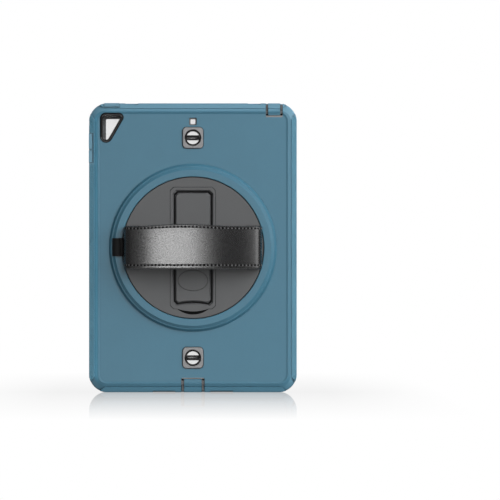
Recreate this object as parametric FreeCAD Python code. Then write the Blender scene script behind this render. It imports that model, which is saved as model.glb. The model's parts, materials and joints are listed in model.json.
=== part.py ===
import FreeCAD, Part
import math
import os

# Rugged tablet case, in millimetres.  +Z is up, +X to the right seen from the back, and the back with
# the strap faces -Y.  The origin is the middle of the bottom edge's flat face.

# ---------------------------------------------------------------- driving dimensions
# The tablet that the case holds
tablet_width = 169.5
tablet_height = 240.0
tablet_thickness = 7.5
tablet_corner = 7.2
tablet_gap = 0.35              # round the tablet's edge
tablet_play = 0.1              # total, front to back

# Outer body
wall_side = 6.9                # bay to outer face, left and right
wall_end = 7.65                # bay to outer face, top and bottom
outer_corner = 15.8
cover_field = 1.5              # soft cover over the flat back
shell_plate = 1.6
shell_wall = 1.6
bond_gap = 0.05                # between curved or upright bonded faces
seam_gap = 0.1                 # between the back half and the front half
bay_back_y = -4.9
seam_back = 1.5                # seam of the two halves behind the tablet's glass

# Edge profile of the back, from the outer wall inwards
wall_back_depth = 1.5          # from the wall's back edge to the field level
band_width = 4.5
band_rise = 1.0
groove_width = 0.8
groove_depth = 0.45
slope_width = 2.6
rim_rise = 0.6                 # rim crest over the field
inner_slope_width = 1.6

# Corner guards: one smooth slope in place of the band and the groove
guard_start = 15.0             # its cut at the slope, from the far side of the corner
guard_run = 8.9                # the cut's run towards the corner, down to the outer face
guard_edge_depth = 4.0         # outer edge under the rim
guard_round = 3.0

# Ring boss and swivel disc
disc_radius = 62.4
disc_gap = 0.5
disc_edge = 0.4                # chamfers on the disc and on the ring round it
disc_sink = 0.2                # disc face below the ring's top
ring_rise = 5.2                # ring top over the field
ring_flat_width = 6.1
ring_step_width = 2.4          # upper slope
ring_step_drop = 1.9
ring_ledge_width = 0.8
ring_ledge_drop = 0.15
ring_slope_width = 2.1         # lower slope
boss_slope_width = 4.7
ring_skin = 1.65
ring_wall = 1.5
boss_inset = 1.1               # the boss's flat inside the ring's flat
flange_thickness = 3.5
flange_width = 7.4              # disc's edge to the hub
running_gap = 0.1              # hub in its hole, radial
axial_gap = 0.2
pan_floor = 1.5
glide_thickness = 0.5
glide_inner_gap = 0.9           # round the hub's hole
glide_outer_gap = 1.1           # inside the disc's recess
retainer_lap = 4.5              # past the hub
retainer_thickness = 1.2
boss_channel_width = 1.8       # hollow under the ring's top
pad_thickness = 0.4
pad_margin = 2.0
screw_count = 6
screw_inset = 11.0              # inside the hub's edge
screw_half_fan = 40.0          # degrees, three screws above and three below
screw_radius = 0.8
screw_head_radius = 1.8
screw_length = 2.7
screw_hole_gap = 0.05
hub_pocket_roof = 1.5
hub_pocket_side_wall = 2.65     # beside the stand
hub_pocket_end_wall = 7.5       # from the strap's slot
hub_pocket_half_z = 28.0

# Stand
stand_half_width = 19.85
stand_top_inset = 9.0          # inside the disc's edge
stand_bottom_inset = 8.5
stand_corner = 3.0
stand_side_gap = 0.35
stand_floor_depth = 3.0
leg_thickness = 2.8
hinge_drop = 8.0               # hinge axis under the disc's centre
hinge_nose_gap = 0.3
pin_radius = 0.75
pin_reach = 3.75               # each end past the stand's side
pin_seat_gap = 0.05
tab_half_width = 13.8
tab_bulge = 2.4
notch_drop = 5.1
notch_depth = 2.6
channel_side_inset = 1.85      # from the stand's side
channel_top_inset = 2.3
channel_low_inset = 2.5
channel_width = 3.5
channel_wall = 1.15            # run of each sloping wall
channel_depth = 1.6
channel_corner = 3.1           # cut corners of the outer contour
channel_corner_loss = 0.3      # per millimetre towards the middle
channel_low_rise = 1.5         # of the lower arc at the middle
oval_drop = 28.9
oval_half_width = 13.2
oval_half_height = 9.1
oval_groove_width = 0.8
oval_groove_depth = 0.6

# Hand strap
strap_half_width = 19.0
strap_thickness = 2.0
strap_span_inset = 1.5         # end bends inside the disc's edge
strap_rise = 24.5              # outer face over the disc's face
strap_shoulder_angle = 22.0    # degrees turned by the wide arch
strap_end_bend = 3.0
strap_skim = 0.4               # return run over the ring's top
strap_slot_inset = 6.5         # inside the hub's edge
strap_slot_gap = 0.15
strap_turn_in = 1.5
strap_bar_radius = 0.8
strap_bar_depth = 2.4          # bar axis under the disc's face
strap_pocket_roof = 1.0
strap_side_gap = 0.4
strap_bar_seat = 2.8
strap_bar_gap = 0.1

# Pencil loop
loop_offset = 5.7              # its centre past the strap's bend
loop_low = -7.4
loop_high = 8.5
loop_outer_radius = 5.0
loop_thickness = 0.9
loop_lift = 0.9                # over the ring's top
loop_tab_height = 3.0
loop_seat_gap = 0.2

# Camera window
window_side_inset = 2.7        # from the bay's left side
window_top_inset = 0.85        # from the bay's top
window_width = 21.0
window_height = 26.5
window_corner_left = 5.0
window_corner_right = 4.0
window_corner_low = 5.5
bezel_width = 2.8
bezel_proud = 0.5
bezel_round = 1.2

# Microphone hole
mic_inset = 8.55               # centre under the bay's top
mic_outer = 6.7
mic_inner = 4.2
mic_corner = 1.2

# Shoulder strap anchors
anchor_inset = 22.95           # centre from the bay's end
anchor_width = 18.0
anchor_height = 18.4
anchor_corner = 3.3
anchor_proud = 1.4
anchor_ring_outer = 7.4
anchor_ring_inner = 5.65
anchor_ring_proud = 0.2
anchor_ring_round = 0.4
anchor_plate_round = 0.6
anchor_cover_gap = 0.5         # round the plate in the soft cover
anchor_bar_height = 4.5
anchor_bar_thickness = 1.7
anchor_bar_half_length = 8.4
anchor_bar_skin = 0.6

# Port flaps
flap_skin = 2.0
flap_gap = 0.2
flap_side_gap = 2.3
charging_side_gap = 2.7
headphone_inset = 13.1         # centre from the bay's right side
headphone_width = 10.5
headphone_fold = 10.1
charging_x = 0.0
charging_width = 15.4
charging_fold = 11.2
fold_ledge = 1.1
bead_radius = 0.65
bead_gap = 0.07
port_corner_cut = 1.9
relief_radius = 0.9
relief_depth = 0.8
port_centre_y = -1.1
headphone_port = 8.0
charging_port = 13.0
port_depth = 6.4               # open towards the front half
port_corner = 0.4

# Slots in the edges
slot_back_y = -6.75
slot_front_y = -0.4
slot_shell_y = -3.6
top_slot_inset = 25.0          # from the bay's side to a top slot
top_slot_length = 11.4
bottom_slot_start = 15.6       # from the middle to a bottom slot
bottom_slot_length = 19.9
switch_inset = 7.35            # from the bay's top
switch_length = 4.4

# Buttons
button_proud = 0.2
button_depth = 3.0             # visible band
button_under = 0.8             # gap under the cap
button_web = 0.6
button_flange = 0.7
button_flange_gap = 0.1
button_flange_margin = 1.0
button_side_gap = 0.3
button_back_y = -7.1
button_front_y = -0.6
button_stem_half = 1.2
button_stem_margin = 2.5
button_tip_gap = 0.1
power_inset = 6.5              # from the bay's left side
power_length = 13.5
volume_inset = 19.05           # from the bay's top to the upper volume button
volume_up_length = 13.6
volume_down_length = 10.9
volume_gap = 1.2

# Front half
bumper_width = 5.2
bumper_lip = 3.8               # in front of the tablet's glass
bumper_round = 2.6
frame_edge_rise = 0.65         # over the film at the window
frame_outer_sink = 0.3         # under the bumper's lip
film_thickness = 0.4
film_side_inset = 2.8          # film edge inside the bay, left and right
film_end_inset = 1.95
film_gap = 0.05
film_corner = 2.0
view_side_lap = 7.8            # how far the frame laps over the bay
view_low_lap = 6.95
view_high_lap = 5.85
view_corner = 1.0
home_radius = 8.9
home_inset = 7.85              # centre over the bay's low end
home_film_radius = 6.6
lens_notch_half = 9.0
lens_notch_depth = 1.1
relief_inset = 14.3            # centre from the bay's left side
relief_width = 7.2
relief_height = 5.4
relief_sink = 0.8
tongue_width = 12.0
tongue_length = 4.0
tongue_gap = 0.1
side_tongue_low = 37.35        # from the bay's low end
side_tongue_high = 83.35       # from the bay's top
top_tongue_x = 25.0
bottom_tongue_inset = 27.1     # from the bay's side

# ---------------------------------------------------------------- derived levels
bay_half_width = tablet_width / 2 + tablet_gap
bay_half_height = tablet_height / 2 + tablet_gap
half_width = bay_half_width + wall_side
half_height = bay_half_height + wall_end
centre_z = half_height
top_z = 2 * half_height

bay_low_z = wall_end
bay_top_z = top_z - wall_end
view_half_width = bay_half_width - view_side_lap
view_low = bay_low_z + view_low_lap
view_high = bay_top_z - view_high_lap
home_z = bay_low_z + home_inset
window_left = -bay_half_width + window_side_inset
window_right = window_left + window_width
window_top = bay_top_z - window_top_inset
window_low = window_top - window_height
mic_z = bay_top_z - mic_inset
anchor_offset = bay_half_height - anchor_inset
headphone_x = bay_half_width - headphone_inset
power_start = -bay_half_width + power_inset
power_span = (power_start, power_start + power_length)
volume_top = bay_top_z - volume_inset
volume_up_span = (volume_top - volume_up_length, volume_top)
volume_down_top = volume_up_span[0] - volume_gap
volume_down_span = (volume_down_top - volume_down_length, volume_down_top)
switch_top = bay_top_z - switch_inset

glass_y = bay_back_y + tablet_thickness + tablet_play
shell_back_y = bay_back_y - shell_plate
field_y = shell_back_y - cover_field
rim_y = field_y - rim_rise
wall_back_y = field_y + wall_back_depth
band_y = wall_back_y - band_rise
guard_y = rim_y + guard_edge_depth
seam_y = glass_y - seam_back
cover_front_y = seam_y - seam_gap
shell_front_y = cover_front_y - seam_gap
lip_y = glass_y + bumper_lip
film_y = glass_y + film_gap

ring_y = field_y - ring_rise
disc_y = ring_y + disc_sink
flange_y = disc_y + flange_thickness
glide_y = flange_y + axial_gap
pan_y = glide_y + glide_thickness
pan_inner_y = pan_y + pan_floor
hub_y = pan_inner_y + axial_gap
retainer_y = hub_y + retainer_thickness

recess_radius = disc_radius + disc_gap
hub_radius = disc_radius - flange_width
retainer_radius = hub_radius + retainer_lap
screw_pitch_radius = hub_radius - screw_inset
ring_flat_radius = recess_radius + ring_flat_width
ring_step_radius = ring_flat_radius + ring_step_width
ring_step_y = ring_y + ring_step_drop
ring_ledge_radius = ring_step_radius + ring_ledge_width
ring_foot_radius = ring_ledge_radius + ring_slope_width
boss_inner_radius = recess_radius + ring_wall
boss_flat_radius = ring_flat_radius - boss_inset
boss_top_y = ring_y + ring_skin
boss_foot_radius = boss_flat_radius + boss_slope_width
hole_radius = hub_radius + running_gap
glide_inner_radius = hole_radius + glide_inner_gap
glide_outer_radius = recess_radius - glide_outer_gap
pad_radius = boss_foot_radius + pad_margin

strap_half_span = disc_radius - strap_span_inset
strap_slot_x = hub_radius - strap_slot_inset
hub_pocket_x0 = stand_half_width + hub_pocket_side_wall
hub_pocket_x1 = strap_slot_x - hub_pocket_end_wall
loop_centre_x = -strap_half_span - loop_offset

stand_top = disc_radius - stand_top_inset
stand_bottom = disc_radius - stand_bottom_inset
channel_half = stand_half_width - channel_side_inset
channel_top = stand_top - channel_top_inset
channel_low = stand_bottom - channel_low_inset
pin_half_length = stand_half_width + pin_reach

stand_floor_y = disc_y + stand_floor_depth
leg_back_y = disc_y + leg_thickness
hinge_y = disc_y + leg_thickness / 2
hinge_z = centre_z - hinge_drop
nose_radius = leg_thickness / 2

V = FreeCAD.Vector
ALONG_Y = V(0, 1, 0)


# ---------------------------------------------------------------- helpers
def box(x0, x1, y0, y1, z0, z1):
    """A box between two corners."""
    return Part.makeBox(x1 - x0, y1 - y0, z1 - z0, V(x0, y0, z0))


def rounded_rect(x0, x1, z0, z1, radius, y):
    """A closed wire in a plane of constant y."""
    k = radius * (1 - math.sqrt(0.5))
    corners = [
        (V(x1 - radius, y, z0), V(x1 - k, y, z0 + k), V(x1, y, z0 + radius)),
        (V(x1, y, z1 - radius), V(x1 - k, y, z1 - k), V(x1 - radius, y, z1)),
        (V(x0 + radius, y, z1), V(x0 + k, y, z1 - k), V(x0, y, z1 - radius)),
        (V(x0, y, z0 + radius), V(x0 + k, y, z0 + k), V(x0 + radius, y, z0)),
    ]
    edges = []
    for i, (start, middle, end) in enumerate(corners):
        edges.append(Part.Arc(start, middle, end).toShape())
        edges.append(Part.LineSegment(end, corners[(i + 1) % 4][0]).toShape())
    return Part.Wire(edges)


def prism(wire, y1):
    """Extrudes a planar wire along Y to the level y1."""
    y0 = wire.BoundBox.YMin
    return Part.Face(wire).extrude(V(0, y1 - y0, 0))


def rounded_slab(x0, x1, z0, z1, radius, y0, y1):
    return prism(rounded_rect(x0, x1, z0, z1, radius, y0), y1)


def outline(inset, y):
    """The case's outline, moved in by inset."""
    return rounded_rect(
        -half_width + inset,
        half_width - inset,
        inset,
        top_z - inset,
        outer_corner - inset,
        y,
    )


def outline_slab(inset, y0, y1):
    return prism(outline(inset, y0), y1)


def centred_slab(half_x, half_z, radius, y0, y1):
    """A rounded slab centred on the disc's axis."""
    return rounded_slab(-half_x, half_x, centre_z - half_z, centre_z + half_z, radius, y0, y1)


def polygon_wire(points):
    return Part.makePolygon(points + [points[0]])


def turned(profile):
    """Revolves a profile of (radius, y) points about the disc's axis."""
    wire = polygon_wire([V(r, y, centre_z) for r, y in profile])
    return Part.Face(wire).revolve(V(0, 0, centre_z), ALONG_Y, 360)


def disc_cylinder(radius, y0, y1):
    return Part.makeCylinder(radius, y1 - y0, V(0, y0, centre_z), ALONG_Y)


def along_x_prism(profile, x0, x1):
    """Extrudes a profile of (y, z) points along X."""
    wire = polygon_wire([V(x0, y, z) for y, z in profile])
    return Part.Face(wire).extrude(V(x1 - x0, 0, 0))


def mirrored_up_down(shape):
    """The same shape at the other end of the case."""
    return shape.mirror(V(0, 0, centre_z), V(0, 0, 1))


def circle_hull(circles, y):
    """A closed wire round circles given as (x, z, radius), in anticlockwise order."""
    spans = []
    for i, (x, z, r) in enumerate(circles):
        next_x, next_z, next_r = circles[(i + 1) % len(circles)]
        length = math.hypot(next_x - x, next_z - z)
        ux = (next_x - x) / length
        uz = (next_z - z) / length
        along = (r - next_r) / length
        across = math.sqrt(1 - along * along)
        nx = ux * along + uz * across
        nz = uz * along - ux * across
        spans.append((nx, nz))
    edges = []
    for i, (x, z, r) in enumerate(circles):
        before = spans[i - 1]
        after = spans[i]
        mx = before[0] + after[0]
        mz = before[1] + after[1]
        size = math.hypot(mx, mz)
        start = V(x + r * before[0], y, z + r * before[1])
        middle = V(x + r * mx / size, y, z + r * mz / size)
        end = V(x + r * after[0], y, z + r * after[1])
        edges.append(Part.Arc(start, middle, end).toShape())
        next_x, next_z, next_r = circles[(i + 1) % len(circles)]
        target = V(next_x + next_r * after[0], y, next_z + next_r * after[1])
        edges.append(Part.LineSegment(end, target).toShape())
    return Part.Wire(edges)


def ribbon(x, height, heading, moves, thickness):
    """A band of even thickness in the XY plane, with height measured along -Y.

    moves holds ("run", length) and ("turn", radius, degrees), where a positive turn is to the left."""
    half = thickness / 2
    angle = math.radians(heading)
    left = []
    right = []

    def point(cx, ch):
        return V(cx, -ch, 0)

    for move in moves:
        nx = -math.sin(angle)
        nh = math.cos(angle)
        if move[0] == "run":
            x1 = x + move[1] * math.cos(angle)
            h1 = height + move[1] * math.sin(angle)
            for side, edges in ((half, left), (-half, right)):
                start = point(x + side * nx, height + side * nh)
                end = point(x1 + side * nx, h1 + side * nh)
                edges.append(Part.LineSegment(start, end).toShape())
            x, height = x1, h1
            continue
        radius, sweep = move[1], math.radians(move[2])
        sign = 1 if sweep > 0 else -1
        cx = x + sign * radius * nx
        ch = height + sign * radius * nh
        for side, edges in ((half, left), (-half, right)):
            reach = radius - sign * side
            points = []
            for share in (0, 0.5, 1):
                turned_by = angle + sweep * share
                px = cx + sign * reach * math.sin(turned_by)
                ph = ch - sign * reach * math.cos(turned_by)
                points.append(point(px, ph))
            edges.append(Part.Arc(*points).toShape())
        angle += sweep
        x = cx + sign * radius * math.sin(angle)
        height = ch - sign * radius * math.cos(angle)
    return left, right


# ---------------------------------------------------------------- shapes that several pieces share
def back_form(y_front):
    """The outer form of the back half: walls, knurl band, groove, rim and field."""
    levels = [
        (0, y_front),
        (0, wall_back_y),
        (band_width, band_y),
        (band_width + groove_width / 2, band_y + groove_depth),
        (band_width + groove_width, band_y),
        (band_width + groove_width + slope_width, rim_y),
        (band_width + groove_width + slope_width + inner_slope_width, field_y),
    ]
    return Part.makeLoft([outline(inset, y) for inset, y in levels], True, True)


def guard_form(y_front):
    """The outer form at the corners: one slope from the rim to the wall, with a round edge."""
    slope_inset = band_width + groove_width
    levels = [
        (0, y_front),
        (0, guard_y),
        (slope_inset, band_y),
        (slope_inset + slope_width, rim_y),
        (slope_inset + slope_width + inner_slope_width, field_y),
    ]
    form = Part.makeLoft([outline(inset, y) for inset, y in levels], True, True)
    edges = []
    for edge in form.Edges:
        bounds = edge.BoundBox
        if max(abs(bounds.YMin - guard_y), abs(bounds.YMax - guard_y)) < bond_gap:
            edges.append(edge)
    return form.makeFillet(guard_round, edges)


def guard_zones(y_front):
    """The four prisms in which a guard takes the place of the band."""
    inner = band_width + groove_width + bond_gap
    drop = guard_start - guard_run
    corner = [
        (-1, -1),
        (drop, -1),
        (guard_start, inner),
        (guard_start, guard_start),
        (inner, guard_start),
        (-1, drop),
    ]
    zones = []
    for side in (-1, 1):
        for end in (-1, 1):
            points = [
                V(side * (half_width - s), ring_y, centre_z + end * (half_height - e))
                for s, e in corner
            ]
            zones.append(prism(polygon_wire(points), y_front + 1))
    return zones


def cover_form(y_front):
    """The back half's outer form with its four corner guards."""
    form = back_form(y_front)
    guards = guard_form(y_front)
    for zone in guard_zones(y_front):
        form = form.cut(zone).fuse(guards.common(zone))
    return form


def shell_envelope(gap):
    """The space that the hard shell takes behind the cover."""
    return centred_slab(
        bay_half_width + shell_wall + gap,
        bay_half_height + shell_wall + gap,
        tablet_corner + tablet_gap + shell_wall + gap,
        shell_back_y,
        cover_front_y + 1,
    )


def flap_inner_profile(fold_inset, gap):
    """The (y, z) profile under a flap at the top edge, moved out by gap."""
    top = top_z - flap_skin - flap_gap + gap
    back = shell_back_y - gap
    low = top_z - fold_inset - 2 * fold_ledge
    cut = port_corner_cut
    return [
        (back, low),
        (back, top - cut),
        (back + cut, top),
        (cover_front_y + 1, top),
        (cover_front_y + 1, low),
    ]


def window_hull(inset, y):
    """The rounded triangle of the camera window, moved in by inset."""
    left = (
        window_left + window_corner_left,
        window_top - window_corner_left,
        window_corner_left - inset,
    )
    low = (
        window_left + window_corner_low,
        window_low + window_corner_low,
        window_corner_low - inset,
    )
    right = (
        window_right - window_corner_right,
        window_top - window_corner_right,
        window_corner_right - inset,
    )
    return circle_hull([low, right, left], y)


def octagon(side_gap, z0, z1, low_corner, high_corner, y):
    """The stand's outline between two heights, each end with or without its cut corners."""
    half = stand_half_width + side_gap
    points = []
    if low_corner:
        points += [V(-half + low_corner, y, z0), V(half - low_corner, y, z0), V(half, y, z0 + low_corner)]
    else:
        points += [V(-half, y, z0), V(half, y, z0)]
    if high_corner:
        points += [V(half, y, z1 - high_corner), V(half - high_corner, y, z1)]
        points += [V(-half + high_corner, y, z1), V(-half, y, z1 - high_corner)]
    else:
        points += [V(half, y, z1), V(-half, y, z1)]
    if low_corner:
        points.append(V(-half, y, z0 + low_corner))
    return polygon_wire(points)


def chord_segment(half_chord, z_chord, sagitta, y):
    """A closed wire between a chord and the arc that bulges under it."""
    start = V(-half_chord, y, z_chord)
    end = V(half_chord, y, z_chord)
    low = V(0, y, z_chord - sagitta)
    return Part.Wire([Part.Arc(start, low, end).toShape(), Part.LineSegment(end, start).toShape()])


# ---------------------------------------------------------------- flaps and ports, made at the top edge
def port_block(x, width, side_gap, port_width):
    """The shell's block under a flap, and the hole that goes through it."""
    half = width / 2 + side_gap - bond_gap
    block = along_x_prism(flap_inner_profile(0, 0), x - half, x + half)
    base = top_z - wall_end + shell_wall / 2
    block = block.common(box(x - half, x + half, shell_back_y, shell_front_y, base, top_z))
    half_port = port_width / 2
    y0 = port_centre_y - port_depth / 2
    y1 = port_centre_y + port_depth / 2
    hole = box(x - half_port, x + half_port, y0, y1, base - wall_end, top_z)
    back_edges = [e for e in hole.Edges if e.BoundBox.YMax < y0 + bond_gap and e.BoundBox.ZLength > wall_end]
    return block, hole.makeFillet(port_corner, back_edges)


def fold_seat(x, width, side_gap, fold_inset):
    """The shell's ledge along the fold line, with the bead's seat and two relief dots."""
    half = width / 2 + side_gap - bond_gap
    fold_z = top_z - fold_inset
    bead_y = field_y + bead_radius
    ledge = box(x - half, x + half, bead_y, shell_back_y, fold_z - fold_ledge, fold_z)
    seat = Part.makeCylinder(bead_radius + bead_gap, 2 * half, V(x - half, bead_y, fold_z), V(1, 0, 0))
    dots = [
        Part.makeCylinder(
            relief_radius,
            relief_depth + cover_field,
            V(x + sign * (width + side_gap) / 2, shell_back_y - cover_field, fold_z),
            ALONG_Y,
        )
        for sign in (-1, 1)
    ]
    return ledge, seat, dots


def flap_opening(x, width, side_gap, fold_inset):
    """What a flap with its slots takes out of the soft cover."""
    half = width / 2 + side_gap
    return box(x - half, x + half, ring_y, cover_front_y + 1, top_z - fold_inset - fold_ledge, top_z + 1)


def make_flap(x, width, fold_inset):
    """A soft flap that wraps the edge, with the hinge bead along its fold line."""
    fold_z = top_z - fold_inset
    bead_y = field_y + bead_radius
    half = width / 2
    skin = back_form(cover_front_y).common(box(x - half, x + half, ring_y, cover_front_y, fold_z, top_z))
    skin = skin.cut(along_x_prism(flap_inner_profile(fold_inset, flap_gap), x - half, x + half))
    bead = Part.makeCylinder(bead_radius, width, V(x - half, bead_y, fold_z), V(1, 0, 0))
    return skin.fuse(bead).removeSplitter()


# ---------------------------------------------------------------- edge slots and buttons
def depth_box(side, span, y0, y1, d0, d1):
    """A box along an edge: span runs along it, and d is the depth under the outer face."""
    if side == "top":
        return box(span[0], span[1], y0, y1, top_z - d1, top_z - d0)
    if side == "bottom":
        return box(span[0], span[1], y0, y1, d0, d1)
    return box(-half_width + d0, -half_width + d1, y0, y1, span[0], span[1])


def wall_thickness(side):
    return wall_side if side == "left" else wall_end


def edge_slot_cuts(side, span):
    """The cuts of one sound slot in the cover and in the shell."""
    wall = wall_thickness(side)
    cover = depth_box(side, span, slot_back_y, slot_front_y, -1, wall - shell_wall + bond_gap)
    shell = depth_box(side, span, slot_shell_y, slot_front_y, wall - 2 * shell_wall, wall + 1)
    return cover, shell


def grown(span, margin):
    return (span[0] - margin, span[1] + margin)


def button_cuts(side, span):
    """The pocket, the stem's hole and the flange's recess in the cover, and the shell's window."""
    wall = wall_thickness(side)
    floor = button_depth + button_under
    stem_half = button_stem_half + button_side_gap
    stem_y = (port_centre_y - stem_half, port_centre_y + stem_half)
    stem_span = grown(span, button_side_gap - button_stem_margin)
    flange_y = (stem_y[0] - button_flange_margin, stem_y[1] + button_flange_margin - button_side_gap)
    flange_span = grown(stem_span, button_flange_margin)
    pocket = depth_box(
        side, grown(span, button_side_gap), rim_y, button_front_y + button_side_gap, -1, floor
    )
    stem = depth_box(side, stem_span, stem_y[0], stem_y[1], 0, wall + 1)
    recess = depth_box(
        side, flange_span, flange_y[0], flange_y[1], floor + button_web, wall - shell_wall + bond_gap
    )
    window = depth_box(
        side, flange_span, flange_y[0], flange_y[1], wall - 2 * shell_wall, wall + 1
    )
    return pocket.fuse(stem).fuse(recess), window


def make_button(side, span):
    """A soft button: a cap over the band, a stem through the wall and a flange that keeps it in."""
    wall = wall_thickness(side)
    flange_top = button_depth + button_under + button_web + button_flange_gap
    stem_span = grown(span, -button_stem_margin)
    stem_y = (port_centre_y - button_stem_half, port_centre_y + button_stem_half)
    margin = button_flange_margin - button_side_gap
    cap = depth_box(side, span, button_back_y, button_front_y, -button_proud, button_depth)
    stem = depth_box(side, stem_span, stem_y[0], stem_y[1], button_depth - 1, wall - button_tip_gap)
    flange = depth_box(
        side,
        grown(stem_span, margin),
        stem_y[0] - margin,
        stem_y[1] + margin - button_side_gap,
        flange_top,
        flange_top + button_flange,
    )
    return cap.fuse(stem).fuse(flange).removeSplitter()


# ---------------------------------------------------------------- pieces of the back half
buttons = [
    ("power_button", "top", power_span),
    ("volume_up_button", "left", volume_up_span),
    ("volume_down_button", "left", volume_down_span),
]
top_slot_end = bay_half_width - top_slot_inset
slots = [
    ("top", (-top_slot_end, -top_slot_end + top_slot_length)),
    ("top", (top_slot_end - top_slot_length, top_slot_end)),
    ("bottom", (-bottom_slot_start - bottom_slot_length, -bottom_slot_start)),
    ("bottom", (bottom_slot_start, bottom_slot_start + bottom_slot_length)),
    ("left", (switch_top - switch_length, switch_top)),
]


def make_back_cover():
    ring = turned([
        (recess_radius, field_y + 0.5),
        (recess_radius, ring_y + disc_edge),
        (recess_radius + disc_edge, ring_y),
        (ring_flat_radius, ring_y),
        (ring_step_radius, ring_step_y),
        (ring_ledge_radius, ring_step_y + ring_ledge_drop),
        (ring_foot_radius, field_y),
        (ring_foot_radius, field_y + 0.5),
    ])
    cover = cover_form(cover_front_y).fuse(ring)
    cover = cover.cut(shell_envelope(bond_gap))
    cover = cover.cut(turned([
        (0, ring_y - 1),
        (recess_radius, ring_y - 1),
        (recess_radius, pan_y),
        (boss_inner_radius - bond_gap, pan_y),
        (boss_inner_radius - bond_gap, boss_top_y),
        (boss_flat_radius + bond_gap, boss_top_y),
        (boss_foot_radius + bond_gap, shell_back_y),
        (boss_foot_radius + bond_gap, shell_back_y + 0.5),
        (0, shell_back_y + 0.5),
    ]))
    cover = cover.cut(prism(window_hull(-bond_gap, rim_y - 1), bay_back_y))
    mic_half = mic_outer / 2
    cover = cover.cut(rounded_slab(
        -mic_half, mic_half, mic_z - mic_half, mic_z + mic_half, mic_corner, rim_y, bay_back_y
    ))
    for sign in (-1, 1):
        cover = cover.cut(anchor_slab(sign, anchor_cover_gap, rim_y - 1, bay_back_y))
    cover = cover.cut(flap_opening(headphone_x, headphone_width, flap_side_gap, headphone_fold))
    cover = cover.cut(mirrored_up_down(
        flap_opening(charging_x, charging_width, charging_side_gap, charging_fold)
    ))
    for side, span in slots:
        cover = cover.cut(edge_slot_cuts(side, span)[0])
    for name, side, span in buttons:
        cover = cover.cut(button_cuts(side, span)[0])
    return cover


def anchor_slab(sign, gap, y0, y1):
    """A rounded slab of an anchor plate's outline, above or below the disc."""
    z = centre_z + sign * anchor_offset
    return rounded_slab(
        -anchor_width / 2 - gap,
        anchor_width / 2 + gap,
        z - anchor_height / 2 - gap,
        z + anchor_height / 2 + gap,
        anchor_corner + gap,
        y0,
        y1,
    )


def rounded_back(solid, radius):
    """A solid whose edges on its back face are rounded."""
    back = solid.BoundBox.YMin + bond_gap
    return solid.makeFillet(radius, [edge for edge in solid.Edges if edge.BoundBox.YMax < back])


def anchor_hole(sign, radius, y0, y1):
    z = centre_z + sign * anchor_offset
    return Part.makeCylinder(radius, y1 - y0, V(0, y0, z), ALONG_Y)


def tongue_boxes(gap):
    """The front frame's tongues, or with a gap the notches they enter, at the shell's walls."""
    depth = tongue_length + gap
    half = tongue_width / 2 + gap
    y0 = seam_y - depth
    inner = tongue_gap / 2 - gap / 2
    outer = shell_wall - tongue_gap / 2 + gap / 2
    found = []
    for z in (bay_low_z + side_tongue_low, bay_top_z - side_tongue_high):
        for sign in (-1, 1):
            xs = sorted([sign * (bay_half_width + inner), sign * (bay_half_width + outer)])
            found.append(box(xs[0], xs[1], y0, seam_y + gap, z - half, z + half))
    bottom_tongue_x = bay_half_width - bottom_tongue_inset
    for sign, place in ((-1, bottom_tongue_x), (1, top_tongue_x)):
        zs = sorted([
            centre_z + sign * (bay_half_height + inner),
            centre_z + sign * (bay_half_height + outer),
        ])
        for x in (-place, place):
            found.append(box(x - half, x + half, y0, seam_y + gap, zs[0], zs[1]))
    return found


def make_back_shell():
    shell = centred_slab(
        bay_half_width + shell_wall,
        bay_half_height + shell_wall,
        tablet_corner + tablet_gap + shell_wall,
        shell_back_y,
        shell_front_y,
    )
    boss = turned([
        (hole_radius, pan_y),
        (boss_inner_radius, pan_y),
        (boss_inner_radius, boss_top_y),
        (boss_flat_radius, boss_top_y),
        (boss_foot_radius, shell_back_y),
        (boss_foot_radius, shell_back_y + shell_plate / 2),
        (hole_radius, shell_back_y + shell_plate / 2),
    ])
    shell = shell.fuse(boss)
    blocks = [
        port_block(headphone_x, headphone_width, flap_side_gap, headphone_port),
        [mirrored_up_down(s) for s in port_block(
            charging_x, charging_width, charging_side_gap, charging_port
        )],
    ]
    head_ledge, head_seat, head_dots = fold_seat(
        headphone_x, headphone_width, flap_side_gap, headphone_fold
    )
    charge_ledge, charge_seat, charge_dots = fold_seat(
        charging_x, charging_width, charging_side_gap, charging_fold
    )
    for block, hole in blocks:
        shell = shell.fuse(block)
    shell = shell.fuse(head_ledge).fuse(mirrored_up_down(charge_ledge))
    shell = shell.cut(centred_slab(
        bay_half_width, bay_half_height, tablet_corner + tablet_gap, bay_back_y, seam_y + 1
    ))
    channel_x = boss_inner_radius + shell_wall
    shell = shell.cut(turned([
        (0, pan_inner_y),
        (channel_x, pan_inner_y),
        (channel_x, boss_top_y + shell_wall),
        (channel_x + boss_channel_width, boss_top_y + shell_wall),
        (boss_foot_radius - shell_wall / 2, bay_back_y - pad_thickness),
        (boss_foot_radius - shell_wall / 2, bay_back_y + 1),
        (0, bay_back_y + 1),
    ]))
    shell = shell.cut(disc_cylinder(pad_radius + bond_gap, bay_back_y - pad_thickness, bay_back_y + 1))
    shell = shell.cut(disc_cylinder(hole_radius, pan_y - 1, bay_back_y))
    for cut in [head_seat, *head_dots, *[mirrored_up_down(s) for s in (charge_seat, *charge_dots)]]:
        shell = shell.cut(cut)
    for block, hole in blocks:
        shell = shell.cut(hole)
    shell = shell.cut(prism(window_hull(bezel_width / 2, rim_y), bay_back_y + 1))
    mic_half = mic_inner / 2
    shell = shell.cut(rounded_slab(
        -mic_half, mic_half, mic_z - mic_half, mic_z + mic_half, mic_corner / 2, rim_y, bay_back_y + 1
    ))
    for sign in (-1, 1):
        shell = shell.cut(anchor_hole(sign, anchor_ring_inner, shell_back_y - 1, bay_back_y + 1))
    for side, span in slots:
        shell = shell.cut(edge_slot_cuts(side, span)[1])
    for name, side, span in buttons:
        shell = shell.cut(button_cuts(side, span)[1])
    for notch in tongue_boxes(tongue_gap):
        shell = shell.cut(notch)
    return shell


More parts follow.
